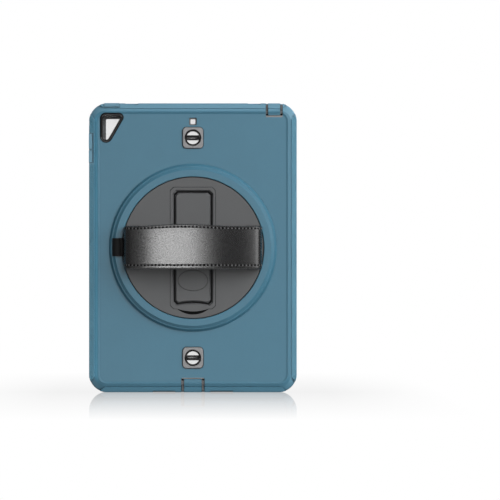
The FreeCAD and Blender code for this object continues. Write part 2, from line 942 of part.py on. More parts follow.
def make_camera_bezel():
    """The rim stands on the shell's plate and lines the plate's window."""
    lip = prism(window_hull(0, field_y - bezel_proud), shell_back_y)
    sleeve = prism(window_hull(bezel_width / 2 + bond_gap, field_y), bay_back_y - bond_gap)
    hole = prism(window_hull(bezel_width, rim_y - 1), bay_back_y + 1)
    return rounded_back(lip.fuse(sleeve).cut(hole).removeSplitter(), bezel_round)


def make_anchor_plate(sign):
    z = centre_z + sign * anchor_offset
    back = field_y - anchor_proud
    plate = rounded_back(anchor_slab(sign, 0, back, shell_back_y), anchor_plate_round)
    plate = plate.cut(anchor_hole(sign, anchor_ring_outer, back - 1, shell_back_y + 1))
    half = anchor_bar_half_length + bond_gap
    half_bar = anchor_bar_height / 2 + bond_gap
    seat = box(-half, half, back + anchor_bar_skin, shell_back_y, z - half_bar, z + half_bar)
    return plate.cut(seat)


def make_anchor_ring(sign):
    z = centre_z + sign * anchor_offset
    back = field_y - anchor_proud - anchor_ring_proud
    ring = anchor_hole(sign, anchor_ring_outer - bond_gap, back, shell_back_y)
    ring = ring.cut(anchor_hole(sign, anchor_ring_inner, back - 1, shell_back_y + 1))
    ring = rounded_back(ring, anchor_ring_round)
    half_bar = anchor_bar_height / 2 + bond_gap
    seat_back = field_y - anchor_proud + anchor_bar_skin - bond_gap
    seat = box(
        -anchor_ring_outer, anchor_ring_outer, seat_back, shell_back_y, z - half_bar, z + half_bar
    )
    return ring.cut(seat)


def make_anchor_bar(sign):
    """A flat bar with a rounded back, caught under the plate's face."""
    z = centre_z + sign * anchor_offset
    back = field_y - anchor_proud + anchor_bar_skin
    half = anchor_bar_half_length
    half_bar = anchor_bar_height / 2
    bar = box(-half, half, back, back + anchor_bar_thickness, z - half_bar, z + half_bar)
    lengthways = [e for e in bar.Edges if e.Length > anchor_bar_half_length]
    return bar.makeFillet(anchor_bar_thickness * 0.4, lengthways)


def make_glide_ring():
    ring = disc_cylinder(glide_outer_radius, glide_y, pan_y)
    return ring.cut(disc_cylinder(glide_inner_radius, glide_y - 1, pan_y + 1))


def make_inner_pad():
    return disc_cylinder(pad_radius, bay_back_y - pad_thickness, bay_back_y)


# ---------------------------------------------------------------- the disc and what turns with it
def screw_places():
    """The screws' (x, z) places: three above the disc's axis and three below."""
    places = []
    for middle in (90, 270):
        for step in (-1, 0, 1):
            angle = math.radians(middle + step * screw_half_fan)
            x = screw_pitch_radius * math.cos(angle)
            places.append((x, centre_z + screw_pitch_radius * math.sin(angle)))
    return places[:screw_count]


def screw(x, z, gap):
    """A countersunk screw, or with a gap the space that it needs."""
    head_depth = screw_head_radius - screw_radius
    shaft = Part.makeCylinder(
        screw_radius + gap, screw_length, V(x, retainer_y, z), V(0, -1, 0)
    )
    head = Part.makeCone(
        screw_head_radius + gap, screw_radius + gap, head_depth, V(x, retainer_y, z), V(0, -1, 0)
    )
    return shaft.fuse(head)


def make_disc_retainer():
    plate = disc_cylinder(retainer_radius, hub_y, retainer_y)
    for x, z in screw_places():
        plate = plate.cut(screw(x, z, screw_hole_gap))
    return plate


def make_retainer_screws():
    return Part.makeCompound([screw(x, z, 0) for x, z in screw_places()])


def make_swivel_disc():
    disc = turned([
        (0, disc_y),
        (disc_radius - disc_edge, disc_y),
        (disc_radius, disc_y + disc_edge),
        (disc_radius, flange_y),
        (hub_radius, flange_y),
        (hub_radius, hub_y),
        (0, hub_y),
    ])
    z_low = centre_z - stand_bottom - stand_side_gap
    z_high = centre_z + stand_top + stand_side_gap
    disc = disc.cut(prism(
        octagon(stand_side_gap, z_low, z_high, stand_corner, stand_corner, disc_y - 1), stand_floor_y
    ))
    disc = disc.cut(prism(
        chord_segment(
            tab_half_width + stand_side_gap,
            centre_z - stand_bottom,
            notch_drop,
            disc_y - 1,
        ),
        disc_y + notch_depth,
    ))
    disc = disc.cut(Part.makeCylinder(
        pin_radius + pin_seat_gap, 2 * pin_half_length, V(-pin_half_length, hinge_y, hinge_z), V(1, 0, 0)
    ))
    for sign in (-1, 1):
        for cut in strap_seat_cuts(sign):
            disc = disc.cut(cut)
        xs = sorted([sign * hub_pocket_x0, sign * hub_pocket_x1])
        disc = disc.cut(box(
            xs[0],
            xs[1],
            disc_y + hub_pocket_roof,
            hub_y,
            centre_z - hub_pocket_half_z,
            centre_z + hub_pocket_half_z,
        ))
    for x, z in screw_places():
        disc = disc.cut(screw(x, z, screw_hole_gap))
    return disc


def bar_centre_x():
    return strap_slot_x - (strap_bar_radius + bond_gap + strap_thickness / 2)


def strap_seat_cuts(sign):
    """The slot a strap end goes through, the pocket for its loop and the two seats of its bar."""
    half_z = strap_half_width + strap_side_gap
    half_slot = strap_thickness / 2 + strap_slot_gap
    loop_reach = strap_bar_radius + bond_gap + strap_thickness + strap_slot_gap
    slot_x = sorted([sign * (strap_slot_x - half_slot), sign * (strap_slot_x + half_slot)])
    pocket_x = sorted([sign * (bar_centre_x() - loop_reach), sign * (strap_slot_x + half_slot)])
    bar_half = strap_bar_radius + strap_bar_gap
    seat_x = sorted([sign * (bar_centre_x() - bar_half), sign * (bar_centre_x() + bar_half)])
    bar_y = disc_y + strap_bar_depth
    seat_z = half_z + strap_bar_seat
    slot = box(slot_x[0], slot_x[1], disc_y - 1, hub_y, centre_z - half_z, centre_z + half_z)
    pocket = box(
        pocket_x[0], pocket_x[1], disc_y + strap_pocket_roof, hub_y, centre_z - half_z, centre_z + half_z
    )
    seats = box(
        seat_x[0], seat_x[1], bar_y - bar_half, hub_y, centre_z - seat_z, centre_z + seat_z
    )
    return slot, pocket, seats


def make_strap_bar(sign):
    half = strap_half_width + strap_side_gap + strap_bar_seat - strap_bar_gap
    return Part.makeCylinder(
        strap_bar_radius,
        2 * half,
        V(sign * bar_centre_x(), disc_y + strap_bar_depth, centre_z - half),
        V(0, 0, 1),
    )


def strap_moves():
    """The strap's middle line from the top of its arch to the end of its right loop."""
    half = strap_thickness / 2
    arch = math.radians(strap_shoulder_angle)
    span = strap_half_span - half
    top = -disc_y + strap_rise - half
    return_run = -ring_y + strap_skim + half
    fall = top - return_run - strap_end_bend
    # Two arcs reach the bend: radius_a through the arch angle, then radius_b through the rest
    a1, b1 = math.sin(arch), 1 - math.sin(arch)
    a2, b2 = 1 - math.cos(arch), math.cos(arch)
    determinant = a1 * b2 - b1 * a2
    radius_a = (span * b2 - b1 * fall) / determinant
    radius_b = (a1 * fall - a2 * span) / determinant
    bar_radius = strap_bar_radius + bond_gap + half
    inward = span - strap_end_bend - strap_slot_x - strap_turn_in
    down = return_run - strap_turn_in + disc_y + strap_bar_depth
    moves = [
        ("turn", radius_a, -strap_shoulder_angle),
        ("turn", radius_b, strap_shoulder_angle - 90),
        ("turn", strap_end_bend, -90),
        ("run", inward),
        ("turn", strap_turn_in, 90),
        ("run", down),
        ("turn", bar_radius, -180),
    ]
    return top, moves


def make_hand_strap():
    top, moves = strap_moves()
    left, right = ribbon(0, top, 0, moves, strap_thickness)
    end_cap = Part.LineSegment(left[-1].Vertexes[-1].Point, right[-1].Vertexes[-1].Point).toShape()
    middle = Part.LineSegment(right[0].Vertexes[0].Point, left[0].Vertexes[0].Point).toShape()
    half = Part.Face(Part.Wire(Part.__sortEdges__(left + right + [end_cap, middle])))
    solid = half.extrude(V(0, 0, 2 * strap_half_width))
    solid.translate(V(0, 0, centre_z - strap_half_width))
    other = solid.mirror(V(0, 0, 0), V(1, 0, 0))
    return solid.fuse(other).removeSplitter()


def make_pencil_loop():
    """A flat elastic tube with a tab that meets the strap's left bend."""
    y = ring_y - loop_lift - loop_outer_radius
    z0 = centre_z + loop_low
    height = loop_high - loop_low
    tab_x = -strap_half_span - loop_seat_gap
    tube = Part.makeCylinder(loop_outer_radius, height, V(loop_centre_x, y, z0), V(0, 0, 1))
    tab = box(
        loop_centre_x,
        tab_x,
        y + loop_outer_radius - loop_tab_height,
        y + loop_outer_radius,
        z0,
        z0 + height,
    )
    hole = Part.makeCylinder(
        loop_outer_radius - loop_thickness, height, V(loop_centre_x, y, z0), V(0, 0, 1)
    )
    return tube.fuse(tab).cut(hole).removeSplitter()


# ---------------------------------------------------------------- the stand
def channel_contour(inset, y):
    """The channel's outer contour, moved in by inset: cut corners, and an arc below."""
    half = channel_half - inset
    top = centre_z + channel_top - inset
    low = centre_z - channel_low + inset
    corner = channel_corner - channel_corner_loss * inset
    low_left = V(-half + corner, y, low)
    low_right = V(half - corner, y, low)
    arc = Part.Arc(low_left, V(0, y, low + channel_low_rise), low_right).toShape()
    rest = Part.makePolygon([
        low_right,
        V(half, y, low + corner),
        V(half, y, top - corner),
        V(half - corner, y, top),
        V(-half + corner, y, top),
        V(-half, y, top - corner),
        V(-half, y, low + corner),
        low_left,
    ])
    return Part.Wire([arc] + rest.Edges)


def stand_channel(z0, z1):
    """The channel that frames the stand's panel, with sloping walls, between two heights."""
    past = 1
    floor_y = disc_y + channel_depth
    overshoot = past * channel_wall / channel_depth
    outer = Part.makeLoft([
        channel_contour(-overshoot, disc_y - past),
        channel_contour(channel_wall, floor_y),
    ], True, True)
    inner = Part.makeLoft([
        channel_contour(channel_width + overshoot, disc_y - past),
        channel_contour(channel_width - channel_wall, floor_y),
    ], True, True)
    return outer.cut(inner).common(box(-half_width, half_width, disc_y - past, floor_y, z0, z1))


def make_stand_bracket():
    z0 = hinge_z + nose_radius + hinge_nose_gap
    z1 = centre_z + stand_top
    plate = prism(octagon(0, z0, z1, 0, stand_corner, disc_y), stand_floor_y)
    return plate.cut(stand_channel(z0, z1))


def make_kickstand_leg():
    z_low = centre_z - stand_bottom
    leg = prism(octagon(0, z_low, hinge_z, stand_corner, 0, disc_y), leg_back_y)
    leg = leg.fuse(prism(chord_segment(tab_half_width, z_low, tab_bulge, disc_y), disc_y + leg_thickness / 2))
    nose = Part.makeCylinder(
        nose_radius, 2 * stand_half_width, V(-stand_half_width, hinge_y, hinge_z), V(1, 0, 0)
    )
    leg = leg.fuse(nose)
    leg = leg.cut(stand_channel(z_low, hinge_z - nose_radius))
    oval_z = centre_z - oval_drop
    oval = []
    for grow in (oval_groove_width / 2, -oval_groove_width / 2):
        ellipse = Part.Ellipse(V(0, 0, 0), oval_half_width + grow, oval_half_height + grow).toShape()
        ellipse.rotate(V(0, 0, 0), V(1, 0, 0), 90)
        ellipse.translate(V(0, disc_y, oval_z))
        oval.append(prism(Part.Wire([ellipse]), disc_y + oval_groove_depth))
    leg = leg.cut(oval[0].cut(oval[1]))
    bore = Part.makeCylinder(
        pin_radius + pin_seat_gap,
        2 * stand_half_width + 2,
        V(-stand_half_width - 1, hinge_y, hinge_z),
        V(1, 0, 0),
    )
    return leg.cut(bore)


def make_kickstand_pin():
    length = 2 * (pin_half_length - pin_seat_gap)
    return Part.makeCylinder(pin_radius, length, V(-length / 2, hinge_y, hinge_z), V(1, 0, 0))


# ---------------------------------------------------------------- the front half
def make_front_bumper():
    bumper = outline_slab(0, seam_y, lip_y)
    front_edges = [e for e in bumper.Edges if e.BoundBox.YMin > lip_y - 0.01]
    bumper = bumper.makeFillet(bumper_round, front_edges)
    return bumper.cut(outline_slab(bumper_width, seam_y - 1, lip_y + 1))


def make_front_frame():
    frame = outline_slab(bumper_width + bond_gap, seam_y, lip_y - frame_outer_sink)
    frame = frame.cut(centred_slab(
        bay_half_width, bay_half_height, tablet_corner + tablet_gap, seam_y - 1, glass_y
    ))
    frame = frame.cut(film_slab(bond_gap, glass_y - 1, film_y + film_thickness + film_gap))
    frame = frame.cut(rounded_slab(
        -view_half_width, view_half_width, view_low, view_high, view_corner, seam_y, lip_y
    ))
    frame = frame.cut(frame_funnel())
    notch_y = film_y + film_thickness + film_gap
    frame = frame.cut(Part.makeCylinder(home_radius, lip_y, V(0, notch_y, home_z), ALONG_Y))
    frame = frame.cut(box(
        -lens_notch_half,
        lens_notch_half,
        notch_y,
        lip_y,
        view_high - 1,
        view_high + lens_notch_depth,
    ))
    relief_x = -bay_half_width + relief_inset
    relief_z = (view_high + top_z - bumper_width) / 2
    frame = frame.cut(rounded_slab(
        relief_x - relief_width / 2,
        relief_x + relief_width / 2,
        relief_z - relief_height / 2,
        relief_z + relief_height / 2,
        relief_height / 3,
        notch_y + relief_sink,
        lip_y,
    ))
    for tongue in tongue_boxes(0):
        frame = frame.fuse(tongue)
    return frame.removeSplitter()


def film_slab(gap, y0, y1):
    half = bay_half_width - film_side_inset + gap
    return rounded_slab(
        -half,
        half,
        bay_low_z + film_end_inset - gap,
        bay_top_z - film_end_inset + gap,
        film_corner,
        y0,
        y1,
    )


def frame_funnel():
    """The four flat slopes that lead from the bumper's lip down to the window's edge."""
    low_y = film_y + film_thickness + film_gap + frame_edge_rise
    high_y = lip_y - frame_outer_sink
    inner = [
        V(-view_half_width, low_y, view_low),
        V(view_half_width, low_y, view_low),
        V(view_half_width, low_y, view_high),
        V(-view_half_width, low_y, view_high),
    ]
    x = half_width - bumper_width
    outer = [
        V(-x, high_y, bumper_width),
        V(x, high_y, bumper_width),
        V(x, high_y, top_z - bumper_width),
        V(-x, high_y, top_z - bumper_width),
    ]
    funnel = Part.makeLoft([polygon_wire(inner), polygon_wire(outer)], True, True)
    return funnel


def make_screen_film():
    film = film_slab(0, film_y, film_y + film_thickness)
    hole = Part.makeCylinder(home_film_radius, 2, V(0, film_y - 1, home_z), ALONG_Y)
    return film.cut(hole)


# ---------------------------------------------------------------- build
def build():
    pieces = {
        "back_cover": make_back_cover(),
        "back_shell": make_back_shell(),
        "camera_bezel": make_camera_bezel(),
        "upper_anchor_plate": make_anchor_plate(1),
        "lower_anchor_plate": make_anchor_plate(-1),
        "upper_anchor_ring": make_anchor_ring(1),
        "lower_anchor_ring": make_anchor_ring(-1),
        "upper_anchor_bar": make_anchor_bar(1),
        "lower_anchor_bar": make_anchor_bar(-1),
        "glide_ring": make_glide_ring(),
        "inner_pad": make_inner_pad(),
        "swivel_disc": make_swivel_disc(),
        "disc_retainer": make_disc_retainer(),
        "retainer_screws": make_retainer_screws(),
        "stand_bracket": make_stand_bracket(),
        "kickstand_leg": make_kickstand_leg(),
        "kickstand_pin": make_kickstand_pin(),
        "strap_bar_left": make_strap_bar(-1),
        "strap_bar_right": make_strap_bar(1),
        "hand_strap": make_hand_strap(),
        "pencil_loop": make_pencil_loop(),
        "headphone_flap": make_flap(headphone_x, headphone_width, headphone_fold),
        "charging_flap": mirrored_up_down(make_flap(charging_x, charging_width, charging_fold)),
        "front_frame": make_front_frame(),
        "front_bumper": make_front_bumper(),
        "screen_film": make_screen_film(),
    }
    for name, side, span in buttons:
        pieces[name] = make_button(side, span)
    return pieces


os.makedirs("parts", exist_ok=True)
for node, shape in build().items():
    shape.exportStep("parts/" + node + ".step")
    bounds = shape.BoundBox
    print(
        f"{node:20s} solids {len(shape.Solids)} valid {shape.isValid()} volume {shape.Volume:10.1f}"
        f"  x {bounds.XMin:7.2f} {bounds.XMax:7.2f}  y {bounds.YMin:7.2f} {bounds.YMax:7.2f}"
        f"  z {bounds.ZMin:7.2f} {bounds.ZMax:7.2f}"
    )
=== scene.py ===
# %% [markdown]
# # A rugged tablet case with a hand strap
# The case is a soft blue cover over a hard shell. A disc on its back turns, and
# carries a leather hand strap, an elastic stylus loop and a fold-out stand.
# The solid model is loaded as a fixed frame, so every new piece is placed in
# metres in that frame: +X to the right, +Z up, and the strap on the -Y side.

# %% Load the fixed frame
import json
import math

import bmesh
import bpy
from mathutils import Matrix, Vector


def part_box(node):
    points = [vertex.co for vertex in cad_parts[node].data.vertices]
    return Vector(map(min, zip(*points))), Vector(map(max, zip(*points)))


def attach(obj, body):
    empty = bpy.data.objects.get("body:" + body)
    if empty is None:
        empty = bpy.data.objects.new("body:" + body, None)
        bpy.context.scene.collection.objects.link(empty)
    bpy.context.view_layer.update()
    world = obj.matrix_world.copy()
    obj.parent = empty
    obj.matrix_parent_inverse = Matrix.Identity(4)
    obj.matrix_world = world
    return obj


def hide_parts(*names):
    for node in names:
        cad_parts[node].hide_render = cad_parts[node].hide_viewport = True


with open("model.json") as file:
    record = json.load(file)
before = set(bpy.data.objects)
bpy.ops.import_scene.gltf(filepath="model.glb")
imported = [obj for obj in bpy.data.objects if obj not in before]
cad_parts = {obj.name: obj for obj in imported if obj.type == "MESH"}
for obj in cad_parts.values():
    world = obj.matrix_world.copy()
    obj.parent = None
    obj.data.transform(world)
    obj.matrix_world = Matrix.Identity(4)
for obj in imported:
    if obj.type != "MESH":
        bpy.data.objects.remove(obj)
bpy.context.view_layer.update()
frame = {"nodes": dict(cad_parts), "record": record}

mm = 0.001

# %% [markdown]
# ## Camera
# A product shot of a flat case is taken from far off with a long lens, so its
# sides stay parallel. The camera stands square to the case and a little under
# its middle. The lens shift puts the case left of the middle of the frame.
# Turning the camera would do that too, but it would show the case's side.

# %% Place the camera
middle_height = 128.0
camera_distance = 2600 * mm
camera_height = 118 * mm
outline_depth = -5 * mm
seen_width = 443.3 * mm
share_across = 0.3858
share_down = 0.4956

camera_data = bpy.data.cameras.new("camera")
camera_data.sensor_width = 36
camera_data.lens = camera_data.sensor_width * (camera_distance + outline_depth) / seen_width
camera_data.shift_x = 0.5 - share_across
camera_data.shift_y = share_down + (middle_height * mm - camera_height) / seen_width - 0.5
camera_data.clip_end = 30
camera = bpy.data.objects.new("camera", camera_data)
camera.location = (0, -camera_distance, camera_height)
camera.rotation_euler = (math.radians(90), 0, 0)
bpy.context.scene.collection.objects.link(camera)
bpy.context.scene.camera = camera
print("lens:", round(camera_data.lens, 1))
print("shift:", round(camera_data.shift_x, 4), round(camera_data.shift_y, 4))

# %% [markdown]
# ## World
# A white sweep stands behind the case, and the room in front is dim. A lit card
# could stand behind it, but the world does both jobs with no extra object: the
# direction of a ray picks white behind and grey in front. Rays from the camera
# always find white, so the backdrop stays clean.

# %% Node helpers
def feed(tree, socket, value):
    """Gives a socket a number, or links another socket to it."""
    if isinstance(value, (int, float)):
        socket.default_value = value
    else:
        tree.links.new(value, socket)


def math_node(tree, operation, *values):
    """One step of arithmetic; each value is a socket or a number."""
    node = tree.nodes.new("ShaderNodeMath")
    node.operation = operation
    for socket, value in zip(node.inputs, values):
        feed(tree, socket, value)
    return node.outputs[0]


def range_node(tree, value, low, high, to_low=0.0, to_high=1.0, smooth=False):
    """Goes from to_low to to_high while the value goes from low to high."""
    node = tree.nodes.new("ShaderNodeMapRange")
    if smooth:
        node.interpolation_type = "SMOOTHSTEP"
    names = ("Value", "From Min", "From Max", "To Min", "To Max")
    for name, given in zip(names, (value, low, high, to_low, to_high)):
        feed(tree, node.inputs[name], given)
    return node.outputs["Result"]


# %% Make the world
sweep_edge = (0.93, 0.985)
room_rise = (-0.3, 0.9)
room_light = (0.06, 0.35)

world = bpy.data.worlds.new("studio")
bpy.context.scene.world = world
world.use_nodes = True
sky = world.node_tree
direction = sky.nodes.new("ShaderNodeTexCoord")
ray = sky.nodes.new("ShaderNodeSeparateXYZ")
sky.links.new(direction.outputs["Generated"], ray.inputs[0])
behind = range_node(sky, ray.outputs["Y"], *sweep_edge, smooth=True)
room = range_node(sky, ray.outputs["Z"], *room_rise, *room_light, smooth=True)
seen_by_things = math_node(sky, "MAXIMUM", behind, room)
ray_kind = sky.nodes.new("ShaderNodeLightPath")
sky_light = math_node(sky, "MAXIMUM", seen_by_things, ray_kind.outputs["Is Camera Ray"])
background = sky.nodes["Background"]
background.inputs["Color"].default_value = (1, 1, 1, 1)
sky.links.new(sky_light, background.inputs["Strength"])
bpy.context.scene.view_settings.view_transform = "Standard"
print("world:", world.name)

# %% [markdown]
# ## Lamps
# Large soft lamps give the broad highlights of a studio. Each is set by its
# direction, its size and how bright its surface looks, because that is what a
# glossy strap mirrors. The two strips in front show only as reflections, and
# the key lamp gives light but isn't mirrored.

# %% Place the lamps
lamp_target = Vector((0, 0, middle_height * mm))


def softbox(name, turn, rise, distance, size, radiance):
    """A lamp that faces the case from so many degrees to the right and up."""
    data = bpy.data.lights.new(name, "AREA")
    data.shape = "RECTANGLE"
    data.size, data.size_y = size
    data.energy = radiance * math.pi * size[0] * size[1]
    lamp = bpy.data.objects.new(name, data)
    turned, raised = math.radians(turn), math.radians(rise)
    flat = math.cos(raised)
    away = Vector((math.sin(turned) * flat, -math.cos(turned) * flat, math.sin(raised)))
    lamp.location = lamp_target + away * distance
    lamp.rotation_euler = away.to_track_quat("Z", "Y").to_euler()
    lamp.visible_camera = False
    bpy.context.scene.collection.objects.link(lamp)
    return lamp


strip = softbox("lamp_front", -14, 0.2, 2.2, (1.35, 0.22), 11.2)
strip_end = softbox("lamp_front_end", 7.5, 0.2, 2.2, (0.36, 0.22), 3.5)
for reflected_only in (strip, strip_end):
    reflected_only.visible_diffuse = False
key = softbox("lamp_key", 37, 25, 1.4, (1.3, 1.1), 4.5)
key.visible_glossy = False
softbox("lamp_right", 65, 9, 1.5, (1.0, 0.8), 1.8)
softbox("lamp_screen_left", 150, 30, 1.8, (1.2, 1.0), 5.0)
softbox("lamp_screen_right", 215, 20, 2.0, (1.0, 1.0), 3.0)

# %% [markdown]
# ## Floor
# The case stands on a glossy white table, which mirrors its lower edge for a
# few centimetres. A plain glossy floor would show a grey horizon. This one
# gives out white light of its own, and its mirror fades away from the case.

# %% Lay the floor
bm = bmesh.new()
bmesh.ops.create_grid(bm, x_segments=1, y_segments=1, size=6)
floor_mesh = bpy.data.meshes.new("floor")
bm.to_mesh(floor_mesh)
bm.free()
floor = bpy.data.objects.new("floor", floor_mesh)
bpy.context.scene.collection.objects.link(floor)
white_table = bpy.data.materials.new("white_table")
white_table.use_nodes = True
floor_mesh.materials.append(white_table)
print("floor faces:", len(floor_mesh.polygons))

# %% Let its mirror fade away from the case
def object_axes(tree):
    """The place of a point on its own piece, in metres, whole and split in X, Y and Z."""
    place = tree.nodes.new("ShaderNodeTexCoord").outputs["Object"]
    split = tree.nodes.new("ShaderNodeSeparateXYZ")
    tree.links.new(place, split.inputs[0])
    return place, split.outputs


def mixed(tree, share, first, second):
    """Shows the second shader for a share of the light, and the first for the rest."""
    node = tree.nodes.new("ShaderNodeMixShader")
    for socket, source in zip(node.inputs, (share, first, second)):
        tree.links.new(source, socket)
    return node.outputs[0]


mirror_most = 0.75
mirror_depth = 0.45
mirror_side = (0.12, 0.22)
table = white_table.node_tree
table.nodes.clear()
table_place, table_axes = object_axes(table)
depth = math_node(table, "ABSOLUTE", table_axes["Y"])
depth_fade = range_node(table, depth, 0, mirror_depth, mirror_most, 0)
side = math_node(table, "ABSOLUTE", table_axes["X"])
side_fade = range_node(table, side, *mirror_side, 1, 0)
near_case = math_node(table, "MULTIPLY", depth_fade, side_fade)
grazing = table.nodes.new("ShaderNodeFresnel")
grazing.inputs["IOR"].default_value = 1.45
mirror_share = math_node(table, "MULTIPLY", near_case, grazing.outputs[0])
own_light = table.nodes.new("ShaderNodeEmission")
mirror = table.nodes.new("ShaderNodeBsdfGlossy")
mirror.inputs["Roughness"].default_value = 0.03
shown = mixed(table, mirror_share, own_light.outputs[0], mirror.outputs[0])
print("mirror fades over", mirror_depth, "m")

# %% Let it light the case softly
table_light = (0.7, 0.05)
table_light_reach = (0.1, 0.5)
matt_light = 0.25
distance = table.nodes.new("ShaderNodeVectorMath")
distance.operation = "LENGTH"
table.links.new(table_place, distance.inputs[0])
near_light = range_node(table, distance.outputs["Value"], *table_light_reach, *table_light)
table_ray = table.nodes.new("ShaderNodeLightPath")
matt_share = range_node(table, table_ray.outputs["Is Diffuse Ray"], 0, 1, 1, matt_light)
dim_light = table.nodes.new("ShaderNodeEmission")
table.links.new(math_node(table, "MULTIPLY", near_light, matt_share), dim_light.inputs["Strength"])
seen = mixed(table, table_ray.outputs["Is Camera Ray"], dim_light.outputs[0], shown)
table_out = table.nodes.new("ShaderNodeOutputMaterial")
table.links.new(seen, table_out.inputs["Surface"])
print("floor nodes:", len(table.nodes))

# %% [markdown]
# ## Shared effects
# Moulded plastic, rubber and leather all have a fine grain and a faint change
# of tone. Painted images would need seams and go soft up close. So each effect
# is a node group on the piece's own coordinates. It is built once and placed in
# every material with its own values, and puts out only colours, masks or heights.
# Three of the groups paint light or shade into the colour: the crevice shade,
# the recess shade and the rim light.

# %% Group helpers
white = (1, 1, 1, 1)


def new_group(name, inputs, outputs):
    """A shader node group, with its inputs and outputs; an input is a name and a start value."""
    group = bpy.data.node_groups.new(name, "ShaderNodeTree")
    for label, value in inputs.items():
        kind = "NodeSocketFloat" if isinstance(value, float) else "NodeSocketColor"
        socket = group.interface.new_socket(label, in_out="INPUT", socket_type=kind)
        socket.default_value = value
    for label in outputs:
        kind = "NodeSocketColor" if label == "Color" else "NodeSocketFloat"
        group.interface.new_socket(label, in_out="OUTPUT", socket_type=kind)
    given, result = group.nodes.new("NodeGroupInput"), group.nodes.new("NodeGroupOutput")
    return group, given.outputs, result.inputs


def texture(tree, kind, scale):
    """A texture on the piece's own coordinates."""
    node = tree.nodes.new("ShaderNodeTex" + kind)
    place = tree.nodes.new("ShaderNodeTexCoord").outputs["Object"]
    tree.links.new(place, node.inputs["Vector"])
    tree.links.new(scale, node.inputs["Scale"])
    return node


def scaled(tree, color, factor):
    """A colour times a factor."""
    node = tree.nodes.new("ShaderNodeVectorMath")
    node.operation = "SCALE"
    tree.links.new(color, node.inputs[0])
    tree.links.new(factor, node.inputs["Scale"])
    return node.outputs[0]


# %% Grain: fine bumps of two sizes
grain, given, result = new_group("grain", {"Scale": 2000.0}, ["Height"])
fine = texture(grain, "Noise", given["Scale"])
fine.inputs["Detail"].default_value = 3
coarse = texture(grain, "Voronoi", given["Scale"])
bumps = math_node(grain, "ADD", fine.outputs["Fac"], coarse.outputs["Distance"])
grain.links.new(bumps, result["Height"])
print("group:", grain.name)

# %% Weave: the ribs of a woven elastic band
weave, given, result = new_group("weave", {"Scale": 320.0}, ["Height"])
ribs = texture(weave, "Wave", given["Scale"])
ribs.bands_direction = "Z"
yarns = texture(weave, "Wave", given["Scale"])
yarns.bands_direction = "DIAGONAL"
for threads in (ribs, yarns):
    threads.inputs["Distortion"].default_value = 0.6
half_yarns = math_node(weave, "MULTIPLY", yarns.outputs["Fac"], 0.5)
woven = math_node(weave, "ADD", ribs.outputs["Fac"], half_yarns)
weave.links.new(woven, result["Height"])
print("group:", weave.name)

# %% Mottle: a slow change of tone and a fine one
mottle, given, result = new_group("mottle", {"Color": white, "Scale": 60.0, "Amount": 0.1}, ["Color"])
cloud = texture(mottle, "Noise", given["Scale"])
speck_ratio = 14.0
speck = texture(mottle, "Noise", math_node(mottle, "MULTIPLY", given["Scale"], speck_ratio))
both_tones = math_node(mottle, "ADD", cloud.outputs["Fac"], speck.outputs["Fac"])
tone = math_node(mottle, "SUBTRACT", both_tones, 1.0)
factor = math_node(mottle, "ADD", math_node(mottle, "MULTIPLY", tone, given["Amount"]), 1.0)
mottle.links.new(scaled(mottle, given["Color"], factor), result["Color"])
print("group:", mottle.name)

# %% Speckle: a value that wanders over the surface, such as a roughness
speckle, given, result = new_group("speckle", {"Scale": 800.0, "Low": 0.2, "High": 0.4}, ["Value"])
spots = texture(speckle, "Noise", given["Scale"])
spots.inputs["Detail"].default_value = 4
usual_noise = (0.3, 0.7)
wander = range_node(speckle, spots.outputs["Fac"], *usual_noise, given["Low"], given["High"])
speckle.links.new(wander, result["Value"])
print("group:", speckle.name)

# %% Crevice shade: painted shade, dark where a point is closed in by its neighbours
crevice_shade, given, result = new_group("crevice_shade", {"Color": white, "Reach": 0.002, "Depth": 0.7}, ["Color"])
open_sky = crevice_shade.nodes.new("ShaderNodeAmbientOcclusion")
open_sky.samples = 6
crevice_shade.links.new(given["Reach"], open_sky.inputs["Distance"])
closed = math_node(crevice_shade, "SUBTRACT", 1.0, open_sky.outputs["AO"])
loss = math_node(crevice_shade, "MULTIPLY", closed, given["Depth"])
darkest = 0.02
kept = math_node(crevice_shade, "MAXIMUM", math_node(crevice_shade, "SUBTRACT", 1.0, loss), darkest)
crevice_shade.links.new(scaled(crevice_shade, given["Color"], kept), result["Color"])
print("group:", crevice_shade.name)

# %% Recess shade: painted shade, dark towards the bottom of a deep channel, but not past its floor; there it is rougher too
recess_shade, given, result = new_group(
    "recess_shade",
    {"Color": white, "Top": -0.01175, "Bottom": -0.01145, "Floor": 1.0, "Dark": 0.05, "Roughness": 0.5},
    ["Color", "Roughness"],
)
_, recess_axes = object_axes(recess_shade)
sunk = range_node(recess_shade, recess_axes["Y"], given["Top"], given["Bottom"], smooth=True)
above_floor = math_node(recess_shade, "LESS_THAN", recess_axes["Y"], given["Floor"])
deep = math_node(recess_shade, "MULTIPLY", sunk, above_floor)
lost = math_node(recess_shade, "MULTIPLY", deep, math_node(recess_shade, "SUBTRACT", 1.0, given["Dark"]))
left_over = math_node(recess_shade, "SUBTRACT", 1.0, lost)
recess_shade.links.new(scaled(recess_shade, given["Color"], left_over), result["Color"])
to_matt = math_node(recess_shade, "SUBTRACT", 1.0, given["Roughness"])
rough_rise = math_node(recess_shade, "MULTIPLY", deep, to_matt)
rougher = math_node(recess_shade, "ADD", given["Roughness"], rough_rise)
recess_shade.links.new(rougher, result["Roughness"])
print("group:", recess_shade.name)

# %% Rim light: how far a point is inside the rounded outline, for a painted highlight
half_width = 92.0
corner_round = 15.8
rim_light, given, result = new_group(
    "rim_light", {"Color": white, "Gain": 0.3, "Painted Sheen": 0.045, "Slope Gain": 0.9}, ["Color"]
)


def rim_math(operation, *values):
    """One step of arithmetic in the rim group."""
    return math_node(rim_light, operation, *values)


def past_corner(axis, half_size):
    """The square of how far a point is past the start of the corners, along one axis."""
    past = rim_math("SUBTRACT", rim_math("ABSOLUTE", axis), (half_size - corner_round) * mm)
    past = rim_math("MAXIMUM", past, 0.0)
    return rim_math("MULTIPLY", past, past)


